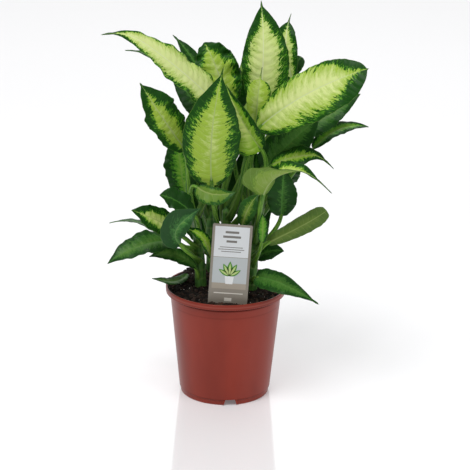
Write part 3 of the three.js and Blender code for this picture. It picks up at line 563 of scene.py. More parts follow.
# Living leaf: a waxy cuticle over green tissue, which lacks its green along the middle. That gives a satin
# gloss above, a paler and duller underside, and a pale middle with a feathered edge that follows the veins.
leafLooks = {
    "cream": {
        "name": "creamLeaf", "pale": "#d8e498", "middle": "#a2c144", "bright": "#5a9824", "dark": "#17480b",
        "under": "#76953f", "midrib": "#adbf80", "paleRib": "#dfe7ba", "reach": 0.66, "blur": 0.022},
    "lime": {
        "name": "limeLeaf", "pale": "#ccd882", "middle": "#8ab434", "bright": "#4b8a20", "dark": "#15420b",
        "under": "#6f903e", "midrib": "#a8bb6e", "paleRib": "#a8bb6e", "reach": 0.48, "blur": 0.035},
    "green": {
        "name": "greenLeaf", "pale": "#8fb544", "middle": "#569428", "bright": "#38781c", "dark": "#153f0c",
        "under": "#64853a", "midrib": "#7a9f4a", "paleRib": "#7a9f4a", "reach": 0.24, "blur": 0.2},
    "dark": {
        "name": "darkLeaf", "pale": "#6b8f42", "middle": "#45722c", "bright": "#30641f", "dark": "#1a4412",
        "under": "#507534", "midrib": "#4f8436", "paleRib": "#4f8436", "reach": 0.1, "blur": 0.3},
    "blue": {
        "name": "youngLeaf", "pale": "#7fae58", "middle": "#4a8040", "bright": "#33662f", "dark": "#275026",
        "under": "#688c50", "midrib": "#6f9c5e", "paleRib": "#6f9c5e", "reach": 0.16, "blur": 0.3},
    # shade: a darker, duller copy of the leaf colours, painted shade for leaves inside the plant and under
    # others
    "shade": {
        "name": "shadeLeaf", "pale": "#96ad50", "middle": "#658630", "bright": "#4b7427", "dark": "#28561b",
        "under": "#5f7838", "midrib": "#93a55c", "paleRib": "#93a55c", "reach": 0.55, "blur": 0.06},
}
leafFinish = {
    "roughness": 0.44, "underRoughness": 0.6, "cloudiness": 0.05, "ior": 1.36, "gloss": 0.25, "glow": 0.1,
    "juice": (0.6, 1, 0.25), "glowDepth": 1.2, "bump": 0.55, "bumpDistance": 0.3, "fleckHeight": 0.05,
    "veinHeight": -0.35, "veinWidth": 0.05, "veinShare": 0.3, "greenVeinShare": 0.2, "underPaleness": 0.75,
    "underRibShare": 0.7, "ribPaleness": 1.2, "brightWidth": 0.2, "brokenness": 0.14,
}
# How the pale middle and the midrib run out. Four numbers turn a span of places into a span of values,
# and two are a factor and what is added to it.
leafSpans = {
    "narrowing": (0.75, 0.56), "lastNarrowing": 0.74, "tipEnd": 0.97, "tipReach": -0.08,
    "toBase": (0, 0.1, 0.55, 1), "greenFoot": (-2.4, 0.26), "ribWidth": (-0.75, 0.95),
    "ribEdge": (1.25, 0.4, 0, 1), "ribFade": (0.97, 0.78, 0.1, 0.75), "fromEdge": (-0.7, 0, 0.45, -0.65),
    "ridgeShading": 0.22, "streakShade": -0.12, "halvesApart": 9, "noiseRoughness": 0.6,
    "noiseRange": (0.32, 0.68, -1, 1),
}
# Noises along the veins, by their scale across and along them, detail and push on the pale middle's edge:
# streaks 2 mm apart and 12 mm long, flecks of a millimetre, and wide clouds
leafNoises = {"streak": (0.4, 0.1, 4, 0.12), "fleck": (0.8, 0.4, 3, 0.15), "cloud": (0.07, 0.05, 2, 0.1)}


def mapParts(add, name):  # the three numbers of a map that a piece carries
    return add(separate, add(("ShaderNodeAttribute", {"attribute_name": name})).outputs["Vector"]).outputs


def leafPaint(add, look):
    finish, spans = leafFinish, leafSpans
    veinPlace, x, seed = mapParts(add, "veinMap")
    share, margin, upper = mapParts(add, "bladeMap")
    toneReach, toneSide, toneLight = mapParts(add, "leafTone")
    distance = add(size, x)
    half = add(sign, x)

    # How far the pale middle reaches: it narrows at the base and near the tip
    narrowing = add(smaller, spans["lastNarrowing"], add(timesPlus, toneReach, *spans["narrowing"]))
    toTip = add(eased, share, spans["tipEnd"], narrowing, spans["tipReach"], 1)
    toBase = add(eased, share, *spans["toBase"])
    reach = add(times, add(times, toTip, toBase), add(plus, toneReach, look["reach"]))
    edge = add(minus, margin, add(timesPlus, toneSide, half, reach))
    noises = {}
    for kind, (across, along, detail, push) in leafNoises.items():
        farther = add(timesPlus, distance, along, add(times, half, spans["halvesApart"]))
        spot = add(combine, add(times, veinPlace, across), farther, seed)
        pattern = add(noiseTexture, spot, 1, detail, spans["noiseRoughness"])
        noises[kind] = add(ranged, pattern, *spans["noiseRange"])
        edge = add(timesPlus, noises[kind], push, edge)
    edge = add(larger, edge, add(minus, add(timesPlus, share, *spans["greenFoot"]), margin))
    paleShare = add(eased, edge, look["blur"], -look["blur"], 0, 1)
    brokenEdge = add(timesPlus, noises["fleck"], finish["brokenness"], edge)
    brightShare = add(eased, brokenEdge, finish["brightWidth"], 0, 0, 1)

    # Veins: a thin line every 7 mm and the pale midrib
    veinTurn = add(fraction, add(over, veinPlace, leafForm["veinSpacing"]))
    fromVein = add(smaller, veinTurn, add(minus, 1, veinTurn))
    veinLine = add(eased, fromVein, finish["veinWidth"], 0, 0, 1)
    fromRib = add(over, distance, add(timesPlus, share, *spans["ribWidth"]))
    ribLine = add(eased, fromRib, *spans["ribEdge"])
    ribFade = add(eased, share, *spans["ribFade"])

    # The pale middle: cream at the midrib, limer towards its edge, in streaks along the veins
    fromEdge = add(ranged, edge, *spans["fromEdge"])
    # painted light and shade of the quilted ridges: the pale middle lightens from one vein to the next, then
    # drops
    lightness = add(plus, toneLight, add(timesPlus, veinTurn, spans["ridgeShading"], fromEdge))
    lightness = add(clampedTimesPlus, noises["streak"], spans["streakShade"], lightness)
    middle = add(mixColours, lightness, look["middle"], look["pale"])
    veined = add(mixColours, add(times, veinLine, finish["veinShare"]), middle, look["pale"])
    green = add(mixColours, brightShare, look["dark"], look["bright"])
    veinedGreen = add(mixColours, add(times, veinLine, finish["greenVeinShare"]), green, look["bright"])
    tissue = add(mixColours, paleShare, veinedGreen, veined)
    ribPaleness = add(clampedTimes, toneLight, finish["ribPaleness"])
    ribColour = add(mixColours, ribPaleness, look["midrib"], look["paleRib"])
    ribbed = add(mixColours, add(times, ribLine, ribFade), tissue, ribColour)
    paleUnder = add(mixColours, finish["underPaleness"], ribbed, look["under"])
    underRib = add(times, ribLine, finish["underRibShare"])
    underVeins = add(larger, add(times, veinLine, finish["veinShare"]), underRib)
    underside = add(mixColours, underVeins, paleUnder, look["midrib"])
    evenRoughness = add(mixNumbers, upper, finish["underRoughness"], finish["roughness"])
    veinRelief = add(times, veinLine, finish["veinHeight"])
    relief = add(timesPlus, noises["fleck"], finish["fleckHeight"], veinRelief)
    return {
        "Base Color": add(mixColours, upper, underside, ribbed), "IOR": finish["ior"],
        "Roughness": add(timesPlus, noises["cloud"], finish["cloudiness"], evenRoughness),
        "Normal": add(reliefBump, relief, finish["bump"], finish["bumpDistance"] * metre),
        "Specular IOR Level": finish["gloss"], "Subsurface Weight": finish["glow"],
        "Subsurface Radius": finish["juice"], "Subsurface Scale": finish["glowDepth"] * metre}


# Leaf stalk: smooth, juicy and hairless, so it shines softly. Pale streaks run along it, and the sheath's
# thin wings are paler than its back. Towards its root it is darkened with painted shade.
petioleLook = {
    "base": "#7caa3e", "shade": "#36691f", "wing": "#acc86c", "root": "#244a15", "roughness": 0.42,
    "ior": 1.42, "gloss": 0.26, "glow": 0.15, "glowDepth": 2, "bump": 0.4, "bumpDistance": 0.2,
    "wingPaleness": 0.6, "streakAlong": 0.05, "streakAround": 2.2, "fleckAlong": 0.5, "fleckScale": 2,
    "flecks": (0.58, 0.72, 0, 0.5), "towardsRoot": (0.7, 0, 0, 0.75),
}


def petiolePaint(add, look):
    along, around, seed = mapParts(add, "veinMap")
    share, wing, sheath = mapParts(add, "bladeMap")
    streakSpot = add(
        combine, add(times, along, look["streakAlong"]), add(times, around, look["streakAround"]), seed)
    streak = add(noiseTexture, streakSpot, 1, 3)
    fleckSpot = add(combine, add(times, along, look["fleckAlong"]), around, seed)
    fleck = add(noiseTexture, fleckSpot, look["fleckScale"], 2)
    colour = add(mixColours, add(eased, streak, *halfContrast), look["shade"], look["base"])
    colour = add(mixColours, add(eased, fleck, *look["flecks"]), colour, look["wing"])
    inWing = add(clampedTimes, wing, add(times, sheath, look["wingPaleness"]))
    colour = add(mixColours, inWing, colour, look["wing"])
    # painted shade: darker towards the root, deep among the stems
    colour = add(mixColours, add(eased, share, *look["towardsRoot"]), colour, look["root"])
    return {
        "Base Color": colour, "Roughness": look["roughness"], "IOR": look["ior"],
        "Specular IOR Level": look["gloss"],
        "Normal": add(reliefBump, streak, look["bump"], look["bumpDistance"] * metre),
        "Subsurface Weight": look["glow"], "Subsurface Radius": leafFinish["juice"],
        "Subsurface Scale": look["glowDepth"] * metre}


bladeMaterials = {tone: newMaterial(look["name"], leafPaint, look) for tone, look in leafLooks.items()}
stalkMaterial = newMaterial("leafStalk", petiolePaint, petioleLook)
leafTree = makeLeafTree()


def leafFrame(leaf, share):  # midrib point, direction and upper side, for where the petiole arrives
    base, tip = Vector(leaf["base"]), Vector(leaf["tip"])
    bend = Vector(leaf["mid"]) * 2 - (base + tip) / 2
    along = (bend.lerp(tip, share) - base.lerp(bend, share)).normalized()
    face = Vector(leaf["face"])
    up = (face - along * face.dot(along)).normalized()
    turn = math.radians(leaf["twist"]) * share
    return curvePoint(share, base, bend, tip), along, up * math.cos(turn) - along.cross(up) * math.sin(turn)


for *columns, own in leaves:
    leaf = {**plainLeaf, **leafForm, **dict(zip(leafColumns, columns)), **own}
    node = "leaf_%02d" % leaf["number"]
    point, along, up = leafFrame(leaf, leaf["overlap"])
    goal = point - up * leaf["drop"]
    if leaf["stem"]:
        stem = stems[leaf["stem"] - 1]
        foot = stemPointAt(stem, (leaf["root"] + stemForm["depth"]) / (stem["height"] + stemForm["depth"]))
    else:
        foot = Vector(leaf["rootAt"])
    outward = Vector((*leaf["leave"], 0)) if "leave" in leaf else goal - foot
    outward.z = 0
    outward.normalize()
    if leaf["stem"]:
        foot = foot + outward * leaf["setBack"]
    span = (goal - foot).length
    start = (outward * leaf["spread"] + Vector((0, 0, 1))).normalized()
    kind = "large" if leaf["width"] >= leaf["largeWidth"] else "small"
    fullness = leaf["leastFullness"] + leaf["fullnessGain"] * leaf["width"] / leaf["fullWidth"]
    piece = grow(node + "_grown", leafTree, {
        **leaf, "rows": leaf[kind + "Rows"], "ring": leaf[kind + "Ring"] + 1,
        "paleMiddle": (leaf["reach"], leaf["side"], leaf["light"]),
        "seed": (leaf["number"] - 1) * leaf["seedStep"],
        "rib": leaf["rib"] * fullness, "channel": leaf["channel"] * fullness,
        "quilt": leaf["quilt"] * leaf["width"] / leaf["fullWidth"], "petioleRing": leaf["petioleRing"] + 1,
        "petioleFoot": foot, "rising": foot + start * leaf["rise"] * span,
        "arriving": goal - along * leaf["arrival"] * span, "goal": goal,
        "inward": Vector((-outward.x, -outward.y, leaf["facing"])),
        "rootRadius": leaf["rootRadius"] * fullness, "endRadius": leaf["endRadius"] * fullness,
        "sheath": leaf["sheath" if leaf["stem"] else "lowSheath"],
        "bladeMaterial": bladeMaterials[leaf["tone"]], "petioleMaterial": stalkMaterial,
    })
    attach(piece, "root")
    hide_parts(node)
print("leaves grown")


# Stem: young cane still wrapped in old leaf bases, smooth and dull, with a scar ring where each leaf fell
stemLook = {
    "base": "#4e7f31", "shade": "#2d5721", "scar": "#8f9a62", "roughness": 0.5, "gloss": 0.26, "bump": 0.5,
    "bumpDistance": 0.3, "streaks": (420, 420, 40), "flecks": 500, "footRadius": 6.2, "topRadius": 4.4,
    "scarSpacing": 9, "scarStagger": 2.3, "scarSharpness": 9, "scarHeight": 0.03, "scarPaleness": 0.25,
    "fleckHeight": 0.5, "topClosing": (1, 0.95, 0.15, 1), "steps": 110, "ring": 30,
}


def stemPaint(add, look):
    coordinates = add("ShaderNodeTexCoord").outputs["Object"]
    stretch = add("ShaderNodeMapping", {"Vector": coordinates, "Scale": look["streaks"]})
    streak = add(noiseTexture, stretch, 1, 3)
    fleck = add(noiseTexture, coordinates, look["flecks"], 2)
    colour = add(mixColours, add(eased, streak, *halfContrast), look["shade"], look["base"])
    scar = add(times, mapParts(add, "stemMap")[1], look["scarPaleness"])
    relief = add(timesPlus, fleck, look["fleckHeight"], streak)
    return {
        "Base Color": add(mixColours, scar, colour, look["scar"]),
        "Roughness": look["roughness"], "Specular IOR Level": look["gloss"],
        "Normal": add(reliefBump, relief, look["bump"], look["bumpDistance"] * metre)}


def makeStemTree():
    tree, add, given = newTree("stemGrowth", {
        "Vector": "foot bend top", "Int": "steps ring", "Material": "material",
        "Float": "footRadius topRadius scarSpacing scarStart scarSharpness scarHeight"})
    curve = add("GeometryNodeCurveQuadraticBezier", given.steps, given.foot, given.bend, given.top)
    spline = add("GeometryNodeSplineParameter").outputs
    beat = add(over, add(plus, spline["Length"], given.scarStart), given.scarSpacing)
    swing = add(cosine, add(times, beat, fullTurn))
    scar = add(power, add(timesPlus, swing, 0.5, 0.5), given.scarSharpness)
    evenRadius = add(mixNumbers, spline["Factor"], given.footRadius, given.topRadius)
    topClosing = add(eased, spline["Factor"], *stemLook["topClosing"])
    radius = add(times, add(times, evenRadius, topClosing), add(timesPlus, scar, given.scarHeight, 1))
    mapped = add(storedVector, curve, "stemMap", add(combine, spline["Length"], scar, 0))
    profile = add("GeometryNodeCurvePrimitiveCircle", {"Resolution": given.ring, "Radius": 1})
    tube = add("GeometryNodeCurveToMesh", {
        "Curve": mapped, "Profile Curve": profile, "Scale": radius, "Fill Caps": True})
    metres = add("GeometryNodeTransform", {"Geometry": tube, "Scale": (metre, metre, metre)})
    whole = add("GeometryNodeRealizeInstances", add("GeometryNodeSetShadeSmooth", metres))
    add("NodeGroupOutput", add(withMaterial, whole, given.material))
    return tree


stemTree = makeStemTree()
caneMaterial = newMaterial("youngCane", stemPaint, stemLook)
for index, stem in enumerate(stems):
    foot, bend, top = stemPoints(stem)
    piece = grow(stem["node"] + "_grown", stemTree, {
        **stemLook, "foot": foot, "bend": bend, "top": top, "scarStart": index * stemLook["scarStagger"],
        "material": caneMaterial})
    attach(piece, "root")
    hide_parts(stem["node"])
print("stems grown")


# Potting soil: damp peat, nearly black and rough all over, with dull brown chips of bark and a few chalky
# white grains of perlite
soilLook = {
    "rings": 60, "turns": 150, "radius": 57.4, "bandBottom": 106.1, "leastBand": 0.2, "neckRadius": 53.4,
    "depth": 60, "bottomRadius": 49, "lump": 1.1, "lumpScale": 5, "grit": 0.7, "gritScale": 1.7,
}
soilFinish = {
    "patchSize": 12, "patchShare": 0.6, "grainShift": 0.3, "contrast": (0.35, 0.75, 0, 1), "gloss": 0.3,
    "bump": 0.8, "bumpDistance": 0.5,
}
soilMaterials = {
    "dampPeat": {"dark": "#0c0907", "light": "#251b15", "roughness": 0.95, "scale": 700},
    "pineBark": {"dark": "#1f1510", "light": "#4a3223", "roughness": 0.85, "scale": 500},
    "perlite": {"dark": "#b8b3a8", "light": "#eae7df", "roughness": 0.9, "scale": 900},
}
# Crumbs: how much of a slope they lie on, their random stretch and turn, and the depth of their dents
crumbForm = {
    "leastUp": 0.3, "shortest": (0.6, 0.6, 0.4), "longest": (1.3, 1, 0.8), "leastTurn": (-0.6, -0.6, 0),
    "mostTurn": (0.6, 0.6, 6.28), "dentScale": 900, "dent": 0.8,
}
crumbColumns = ("name", "look", "density", "least", "most", "faces", "seed")
crumbKinds = [
    ("soil_crumbs", "dampPeat", 300000, 0.45, 1.5, 1, 3),
    ("soil_bark", "pineBark", 52000, 1.2, 2.9, 2, 8),
    ("soil_perlite", "perlite", 14000, 0.3, 0.8, 2, 5),
]


def soilPaint(add, look):
    finish = soilFinish
    coordinates = add("ShaderNodeTexCoord").outputs["Object"]
    grains = add(noiseTexture, coordinates, look["scale"], 5, 0.7)
    patches = add(noiseTexture, coordinates, look["scale"] / finish["patchSize"], 2)
    blend = add(timesPlus, patches, finish["patchShare"], add(minus, grains, finish["grainShift"]))
    return {
        "Base Color": add(mixColours, add(eased, blend, *finish["contrast"]), look["dark"], look["light"]),
        "Roughness": look["roughness"], "Specular IOR Level": finish["gloss"],
        "Normal": add(reliefBump, grains, finish["bump"], finish["bumpDistance"] * metre)}


def circle(radius, turns):  # its points, as x and y
    angles = [fullTurn * j / turns for j in range(turns)]
    return [(radius * math.cos(angle), radius * math.sin(angle)) for angle in angles]


def soilSurface(x, y):  # the rule's height with lumps and grit on it
    lumps = noise.fractal(Vector((x, y, 3)) / soilLook["lumpScale"], 1, 2, 3)
    grit = noise.noise(Vector((x, y, 9)) / soilLook["gritScale"])
    return soilHeight(x, y) + soilLook["lump"] * lumps + soilLook["grit"] * grit


def makeSoilBed():
    look = soilLook
    turns = look["turns"]
    rows = []
    for i in range(1, look["rings"] + 1):
        for x, y in circle(look["radius"] * i / look["rings"], turns):
            rows.append((x, y, max(soilSurface(x, y), look["bandBottom"] + look["leastBand"])))
    for radius, height in (
            (look["radius"], look["bandBottom"]), (look["neckRadius"], look["bandBottom"]),
            (look["bottomRadius"], look["depth"])):
        rows += [(x, y, height) for x, y in circle(radius, turns)]
    points = [(0, 0, soilSurface(0, 0))] + rows + [(0, 0, look["depth"])]
    faces = []
    last = len(points) - 1
    for j in range(turns):
        k = (j + 1) % turns
        faces.append((0, 1 + j, 1 + k))
        for i in range(len(rows) // turns - 1):
            a, b = 1 + i * turns + j, 1 + i * turns + k
            faces.append((a, a + turns, b + turns, b))
        faces.append((last, last - turns + k, last - turns + j))
    mesh = bpy.data.meshes.new("soil_bed")
    mesh.from_pydata([Vector(p) * metre for p in points], [], faces)
    mesh.shade_smooth()
    return newPiece("soil_bed", mesh)


def makeCrumbTree():  # crumbs of uneven shape strewn over a surface
    tree, add, given = newTree("crumbScatter", {
        "Geometry": "surface", "Float": "density least most", "Int": "faces seed", "Material": "material"})
    form = crumbForm
    slope = add(separate, add("GeometryNodeInputNormal")).outputs[2]
    facingUp = add(("FunctionNodeCompare", {"operation": "GREATER_THAN"}), slope, form["leastUp"])
    points = add("GeometryNodeDistributePointsOnFaces", {
        "Mesh": given.surface, "Selection": facingUp, "Density": given.density, "Seed": given.seed})
    crumb = add("GeometryNodeMeshIcoSphere", metre, given.faces)
    scale = add(randomNumber, given.least, given.most, given.seed)
    lengths = add(randomVector, form["shortest"], form["longest"], given.seed)
    turn = add(randomVector, form["leastTurn"], form["mostTurn"], given.seed)
    strewn = add("GeometryNodeInstanceOnPoints", {
        "Points": points, "Instance": crumb, "Rotation": turn, "Scale": add(scaled, lengths, scale)})
    whole = add("GeometryNodeRealizeInstances", strewn)
    dent = add(noiseTexture, add("GeometryNodeInputPosition"), form["dentScale"], 1)
    depth = add(timesPlus, dent, form["dent"] * metre, -form["dent"] / 2 * metre)
    push = add(scaled, add("GeometryNodeInputNormal"), depth)
    dented = add("GeometryNodeSetPosition", {"Geometry": whole, "Offset": push})
    add("NodeGroupOutput", add(withMaterial, dented, given.material))
    return tree


soilFinishes = {name: newMaterial(name, soilPaint, look) for name, look in soilMaterials.items()}
bed = makeSoilBed()
bed.data.materials.append(soilFinishes["dampPeat"])
crumbTree = makeCrumbTree()
crumbs = []
for row in crumbKinds:
    kind = dict(zip(crumbColumns, row))
    kind["material"] = soilFinishes[kind["look"]]
    crumbs.append(grow(kind["name"], crumbTree, kind, bed.data.copy()))
for piece in [bed] + crumbs:
    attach(piece, "root")
    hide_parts("soil")
print("soil filled:", sum(len(piece.data.polygons) for piece in crumbs), "crumb faces")


# Pot: injection moulded polypropylene, thin and tough. It has a smooth mould finish with a soft sheen, faint
# flow marks and a little scuffing. Painted shade darkens the rim band and draws dark lines in the creases at
# the foot's step and under the rim band, a faint dark line runs lower on the wall, and a painted highlight
# is a bright line below the rim's top edge.
potForm = {
    "height": 110.5, "rimRadius": 59.5, "bandHeight": 6, "bandThickness": 1.7, "ledge": 1.3,
    "wallTop": 55.1, "wallBottom": 45.4, "foot": 44, "footHeight": 5.6, "wall": 1.5, "floor": 1.8,
    "turns": 180, "cornerSteps": 4, "sharpEdge": 32, "channels": 3, "channelTurn": 0.135, "channelWidth": 13,
    "channelTop": 9.5, "channelHeight": 6, "channelStart": 14, "holeRadius": 3.5, "holePlace": 29,
    "holeTurns": 32, "spare": 3, "housingGap": 0.7,
}
# lines: height, half width, strength, colour, and change of the gloss. The lines at 5.6 and 103 mm are
# painted shade in the creases at the foot's step and under the rim band, the one at 94.5 mm is a faint dark
# line, and the one at 107.6 mm is a painted highlight on the rim band
potLook = {
    "base": "#963220", "deep": "#872b1a", "rim": "#832b1b", "scuff": "#a25a48", "rimShare": 0.8,
    "rimFrom": 103.5, "rimTo": 105.5, "roughness": 0.36, "unevenness": 0.16, "ior": 1.49, "gloss": 0.31,
    "lines": (
        (5.6, 1, 0.6, "#3a0f0a", -0.3), (94.5, 1.4, 0.3, "#5c1a10", -0.12),
        (103, 2.2, 0.85, "#2c0b08", -0.31), (107.6, 1.2, 0.5, "#a24c3b", 0.14)),
    "grain": 1200, "flow": (26, 26, 26 / 3), "scuffs": 90, "scuffing": (0.66, 0.8, 0, 0.35),
    "grainHeight": 0.25, "bump": 0.25, "bumpDistance": 0.3,
}


def potPaint(add, look):
    coordinates = add("ShaderNodeTexCoord").outputs["Object"]
    height = add(separate, coordinates).outputs[2]
    flow = add(noiseTexture, add("ShaderNodeMapping", {"Vector": coordinates, "Scale": look["flow"]}), 1, 3)
    grain = add(noiseTexture, coordinates, look["grain"], 2)
    scuffs = add(noiseTexture, coordinates, look["scuffs"], 6, 0.75)
    colour = add(mixColours, add(eased, flow, *halfContrast), look["deep"], look["base"])
    # painted shade of the leaves above: the rim band is coloured darker than the wall
    rimShade = add(eased, height, look["rimFrom"] * metre, look["rimTo"] * metre, 0, look["rimShare"])
    colour = add(mixColours, rimShade, colour, look["rim"])
    colour = add(mixColours, add(eased, scuffs, *look["scuffing"]), colour, look["scuff"])
    gloss = look["gloss"]
    # painted shade and a painted highlight: each line darkens or brightens the colour in a band around its
    # height
    for level, spread, strength, tint, shine in look["lines"]:
        near = add(eased, add(size, add(minus, height, level * metre)), spread * metre, 0, 0, strength)
        colour = add(mixColours, near, colour, tint)
        gloss = add(timesPlus, near, shine, gloss)
    relief = add(timesPlus, grain, look["grainHeight"], flow)
    return {
        "Base Color": colour, "IOR": look["ior"], "Specular IOR Level": gloss,
        "Roughness": add(timesPlus, flow, look["unevenness"], look["roughness"] - look["unevenness"] / 2),
        "Normal": add(reliefBump, relief, look["bump"], look["bumpDistance"] * metre)}


def wallRadius(height):
    form = potForm
    share = (height - form["footHeight"]) / (form["height"] - form["bandHeight"] - form["footHeight"])
    return form["wallBottom"] + (form["wallTop"] - form["wallBottom"]) * share


def roundCorner(before, corner, after, cut):  # a corner of the profile as a small arc
    a = corner + (before - corner).normalized() * cut
    b = corner + (after - corner).normalized() * cut
    steps = potForm["cornerSteps"]
    return [curvePoint(i / steps, a, corner, b) for i in range(steps + 1)]


def editMesh(mesh, edit):  # lets edit change the mesh as a bmesh
    shape = bmesh.new()
    shape.from_mesh(mesh)
    edit(shape)
    shape.to_mesh(mesh)
    shape.free()
    return mesh


def faceOutwards(shape):
    bmesh.ops.recalc_face_normals(shape, faces=shape.faces)


def latheMesh(name, profile, turns):  # a closed solid of revolution: the profile starts and ends on the axis
    points, rings = [], []
    for radius, height in profile:
        ring = circle(radius * metre, turns) if radius else [(0, 0)]
        rings.append(range(len(points), len(points) + len(ring)))
        points += [(x, y, height * metre) for x, y in ring]
    faces = []
    for lower, upper in zip(rings, rings[1:]):
        for j in range(turns):
            k = (j + 1) % turns
            a, b, d, c = [ring[i % len(ring)] for ring in (lower, upper) for i in (j, k)]
            faces.append(list(dict.fromkeys((a, b, c, d))))
    mesh = bpy.data.meshes.new(name)
    mesh.from_pydata(points, [], faces)
    return editMesh(mesh, faceOutwards)


def radialBar(name, bottomWidth, topWidth, bottom, top, start, end, turn):  # a bar of trapezium section
    low, high = bottomWidth / 2, topWidth / 2
    corners = [(-low, bottom), (low, bottom), (high, top), (-high, top)]
    points = [Vector((x, -reach, z)) * metre for reach in (start, end) for x, z in corners]
    for point in points:
        point.rotate(Matrix.Rotation(turn, 3, "Z"))
    faces = [(0, 1, 2, 3), (7, 6, 5, 4)] + [(i, i + 4, (i + 1) % 4 + 4, (i + 1) % 4) for i in range(4)]
    mesh = bpy.data.meshes.new(name)
    mesh.from_pydata(points, [], faces)
    return newPiece(name, editMesh(mesh, faceOutwards))


def joinOrCut(piece, tool, way):
    modifier = piece.modifiers.new(way, "BOOLEAN")
    modifier.operation = way
    modifier.solver = "EXACT"
    modifier.object = tool
    plainMesh(piece)
    bpy.data.objects.remove(tool)


def smoothFaces(shape):  # smooth but for its sharp edges
    bmesh.ops.remove_doubles(shape, verts=shape.verts, dist=closeTogether)
    for edge in shape.edges:
        edge.smooth = edge.calc_face_angle(0) < math.radians(potForm["sharpEdge"])
    for face in shape.faces:
        face.smooth = True


def makePot():
    form = potForm
    bandBottom = form["height"] - form["bandHeight"]
    ledge = bandBottom + form["ledge"]
    bandInner = form["rimRadius"] - form["bandThickness"]
    corners = [  # radius, height and how far the corner is rounded
        (0, 0, 0), (form["foot"], 0, 0.7), (form["foot"] + 0.5, form["footHeight"] - 0.6, 0.25),
        (form["wallBottom"], form["footHeight"], 0.4), (wallRadius(bandBottom - 0.3), bandBottom - 0.3, 0.5),
        (form["rimRadius"] - 0.25, bandBottom + 0.15, 0.9), (form["rimRadius"], form["height"], 1.0),
        (bandInner, form["height"] - 0.1, 0.6), (bandInner, ledge, 0.5),
        (wallRadius(ledge) - form["wall"], ledge, 0.4),
        (form["wallBottom"] - form["wall"], form["footHeight"], 1), (form["foot"] - 2, form["floor"], 0.8),
        (0, form["floor"], 0),
    ]
    points = [Vector((radius, height)) for radius, height, _ in corners]
    profile = [points[0]]
    for before, corner, after, (_, _, cut) in zip(points, points[1:], points[2:], corners[1:]):
        profile += roundCorner(before, corner, after, cut)
    profile.append(points[-1])
    pot = newPiece("pot_shell", latheMesh("pot_shell", profile, form["turns"]))
    turns = [form["channelTurn"] + i * (fullTurn / form["channels"]) for i in range(form["channels"])]
    roof = form["channelHeight"] + form["wall"]
    spread = (form["channelWidth"] - form["channelTop"]) / form["channelHeight"]
    start, end = form["channelHeight"] - form["spare"], roof + form["spare"]
    hole = [(0, start), (form["holeRadius"], start), (form["holeRadius"], end), (0, end)]
    walls = 2 * form["wall"]
    for turn in turns:
        housing = radialBar(
            "housing", form["channelWidth"] + walls, form["channelTop"] + walls, form["floor"] / 2, roof,
            form["channelStart"] - form["wall"], wallRadius(roof) - form["housingGap"], turn)
        joinOrCut(pot, housing, "UNION")
    for turn in turns:
        channel = radialBar(
            "channel", form["channelWidth"] + spread, form["channelTop"], -1, form["channelHeight"],
            form["channelStart"], form["wallTop"], turn)
        joinOrCut(pot, channel, "DIFFERENCE")
        drill = newPiece("drill", latheMesh("drill", hole, form["holeTurns"]))
        shift = Vector((0, -form["holePlace"], 0)) * metre
        shift.rotate(Matrix.Rotation(turn, 3, "Z"))
        drill.data.transform(Matrix.Translation(shift))
        joinOrCut(pot, drill, "DIFFERENCE")
    editMesh(pot.data, smoothFaces)
    return pot


pot = makePot()
pot.data.materials.clear()
pot.data.materials.append(newMaterial("mouldedPolypropylene", potPaint, potLook))
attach(pot, "root")
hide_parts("pot")
print("pot moulded")


# Plant label: printed polypropylene card with a satin face. Its print is plain shapes, each layer 0.05 mm
# prouder than the last: a pale panel with bars for its lines of text, a picture of a potted plant, and a
# footer.
labelForm = {
    "half": 19, "top": 188.5, "corner": 1.5, "cornerSteps": 8, "shoulder": 100, "spikeTop": 88,
    "spikeTopHalf": 8, "spikeTip": 62, "spikeTipHalf": 4, "thickness": 0.9, "bevel": 0.12,
    "place": (2, -47.5, 106.8), "lean": 0.055, "ink": 0.05, "inkDepth": 0.02,
}
labelLook = {
    "card": "#8d867a", "roughness": 0.42, "wear": 0.2, "wearScale": 60, "grain": 0.16, "grainScale": 2600,
    "bump": 0.12, "bumpDistance": 0.05,
}
# The picture's leaves: tilt in degrees, length and width. They grow from the vase's top.
sprigs = [(0, 15, 5.4), (-28, 14, 5), (28, 14, 5), (-58, 12.5, 4.4), (58, 12.5, 4.4)]
vaseTop = 136.5
centreStart = 1.5


def printPaint(add, colour):
    look = labelLook
    coordinates = add("ShaderNodeTexCoord").outputs["Object"]
    grain = add(noiseTexture, coordinates, look["grainScale"], 2)
    wear = add(noiseTexture, coordinates, look["wearScale"], 4)
    value = add(timesPlus, grain, look["grain"], 1 - look["grain"] / 2)
    return {
        "Base Color": add("ShaderNodeHueSaturation", {"Color": colour, "Value": value}),
        "Roughness": add(timesPlus, wear, look["wear"], look["roughness"] - look["wear"] / 2),
        "Normal": add(reliefBump, grain, look["bump"], look["bumpDistance"] * metre)}


def cardOutline():
    form = labelForm
    half, top, corner = form["half"], form["top"], form["corner"]
    right = [(form["spikeTipHalf"], form["spikeTip"] + form["spikeTipHalf"]),
             (form["spikeTopHalf"], form["spikeTop"]), (half, form["shoulder"])]
    for i in range(form["cornerSteps"] + 1):
        angle = math.pi / 2 * i / form["cornerSteps"]
        right.append((half - corner + corner * math.cos(angle), top - corner + corner * math.sin(angle)))
    return [(0, form["spikeTip"])] + right + [(-x, z) for x, z in reversed(right)]


def slab(points, back, front):  # a flat closed shape between two depths, front towards the viewer
    count = len(points)
    corners = [(x, front, z) for x, z in points] + [(x, back, z) for x, z in points]
    faces = [tuple(range(count)), tuple(range(2 * count - 1, count - 1, -1))]
    faces += [(i, i + count, (i + 1) % count + count, (i + 1) % count) for i in range(count)]
    return corners, faces


def bar(x, z, width, height):  # a rectangle by its middle
    left, right, low, high = x - width / 2, x + width / 2, z - height / 2, z + height / 2
    return [(left, low), (right, low), (right, high), (left, high)]


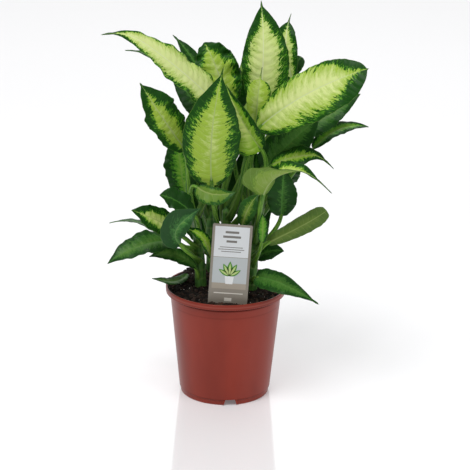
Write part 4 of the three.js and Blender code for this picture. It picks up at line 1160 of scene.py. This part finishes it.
def leafShape(tilt, start, length, width):  # a pointed leaf that starts at a distance from the vase's top
    steps = 12
    turn = math.radians(tilt)
    x, z = start * math.sin(turn), vaseTop + start * math.cos(turn)
    shares = [i / steps for i in range(steps + 1)]
    side = [(math.sin(math.pi * s) ** 0.8 * width / 2 * (1.15 - 0.3 * s), length * s) for s in shares]
    outline = side + [(-a, b) for a, b in reversed(side[1:-1])]
    return [(x + a * math.cos(turn) + b * math.sin(turn), z - a * math.sin(turn) + b * math.cos(turn))
            for a, b in outline]


def placeOnLabel(shape, bevel=0):
    faceOutwards(shape)
    if bevel:
        rims = [edge for edge in shape.edges if abs(edge.verts[0].co.y - edge.verts[1].co.y) < closeTogether]
        bmesh.ops.bevel(shape, geom=rims, offset=bevel, segments=2, affect="EDGES", profile=0.5)
    place = Vector(labelForm["place"])
    lean = Matrix.Rotation(labelForm["lean"], 4, "Y")
    toFoot = Matrix.Translation((0, 0, -place.z))
    shape.transform(Matrix.Scale(metre, 4) @ Matrix.Translation(place) @ lean @ toFoot)


def labelPiece(name, materialName, colour, corners, faces, edit):
    mesh = bpy.data.meshes.new(name)
    mesh.from_pydata(corners, [], faces)
    piece = newPiece(name, editMesh(mesh, edit))
    mesh.materials.append(newMaterial(materialName, printPaint, colour))
    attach(piece, "root")
    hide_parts("plant_label")


cardFace = -labelForm["thickness"] / 2
labelPiece(
    "label_card", "labelCard", labelLook["card"], *slab(cardOutline(), -cardFace, cardFace),
    partial(placeOnLabel, bevel=labelForm["bevel"]))
prints = [  # a print's name, its material and colour, its layer and its shapes
    ("label_panel", "labelPanel", "#d9dcde", 1, [bar(0, 171, 33, 30.5)]),
    ("label_text", "labelText", "#77756f", 2, [
        bar(0, 180.6, 13, 2.2), bar(0, 176, 17, 2.2), bar(0, 171.4, 10, 2.2), bar(0, 165.6, 22, 0.7),
        bar(0, 163.4, 25, 0.7), bar(0, 161.2, 19, 0.7)]),
    ("label_picture", "labelPicture", "#b9bfc0", 1, [bar(0, 139.4, 33, 31.7)]),
    ("label_table", "labelTable", "#a49a8b", 2, [bar(0, 126.4, 33, 5.8)]),
    ("label_vase", "labelVase", "#e4e6e6", 3, [
        [(-3.4, 128.5), (3.4, 128.5), (4.4, vaseTop), (-4.4, vaseTop)]]),
    ("label_leaves", "labelLeaf", "#4f8b2c", 4, [leafShape(tilt, 0, *sizes) for tilt, *sizes in sprigs]),
    ("label_leaf_centres", "labelLeafCentre", "#b7cd7f", 5, [
        leafShape(tilt, centreStart, length * 0.75, width * 0.4) for tilt, length, width in sprigs]),
    ("label_footer", "labelFooter", "#d8d3c8", 1, [bar(0, 119, 28, 1), bar(0, 112.6, 7, 3.4)]),
]
for name, materialName, colour, layer, shapes in prints:
    corners, faces = [], []
    for points in shapes:
        more, moreFaces = slab(points, cardFace + labelForm["inkDepth"], cardFace - labelForm["ink"] * layer)
        faces += [tuple(i + len(corners) for i in face) for face in moreFaces]
        corners += more
    labelPiece(name, materialName, colour, corners, faces, placeOnLabel)
print("label printed")
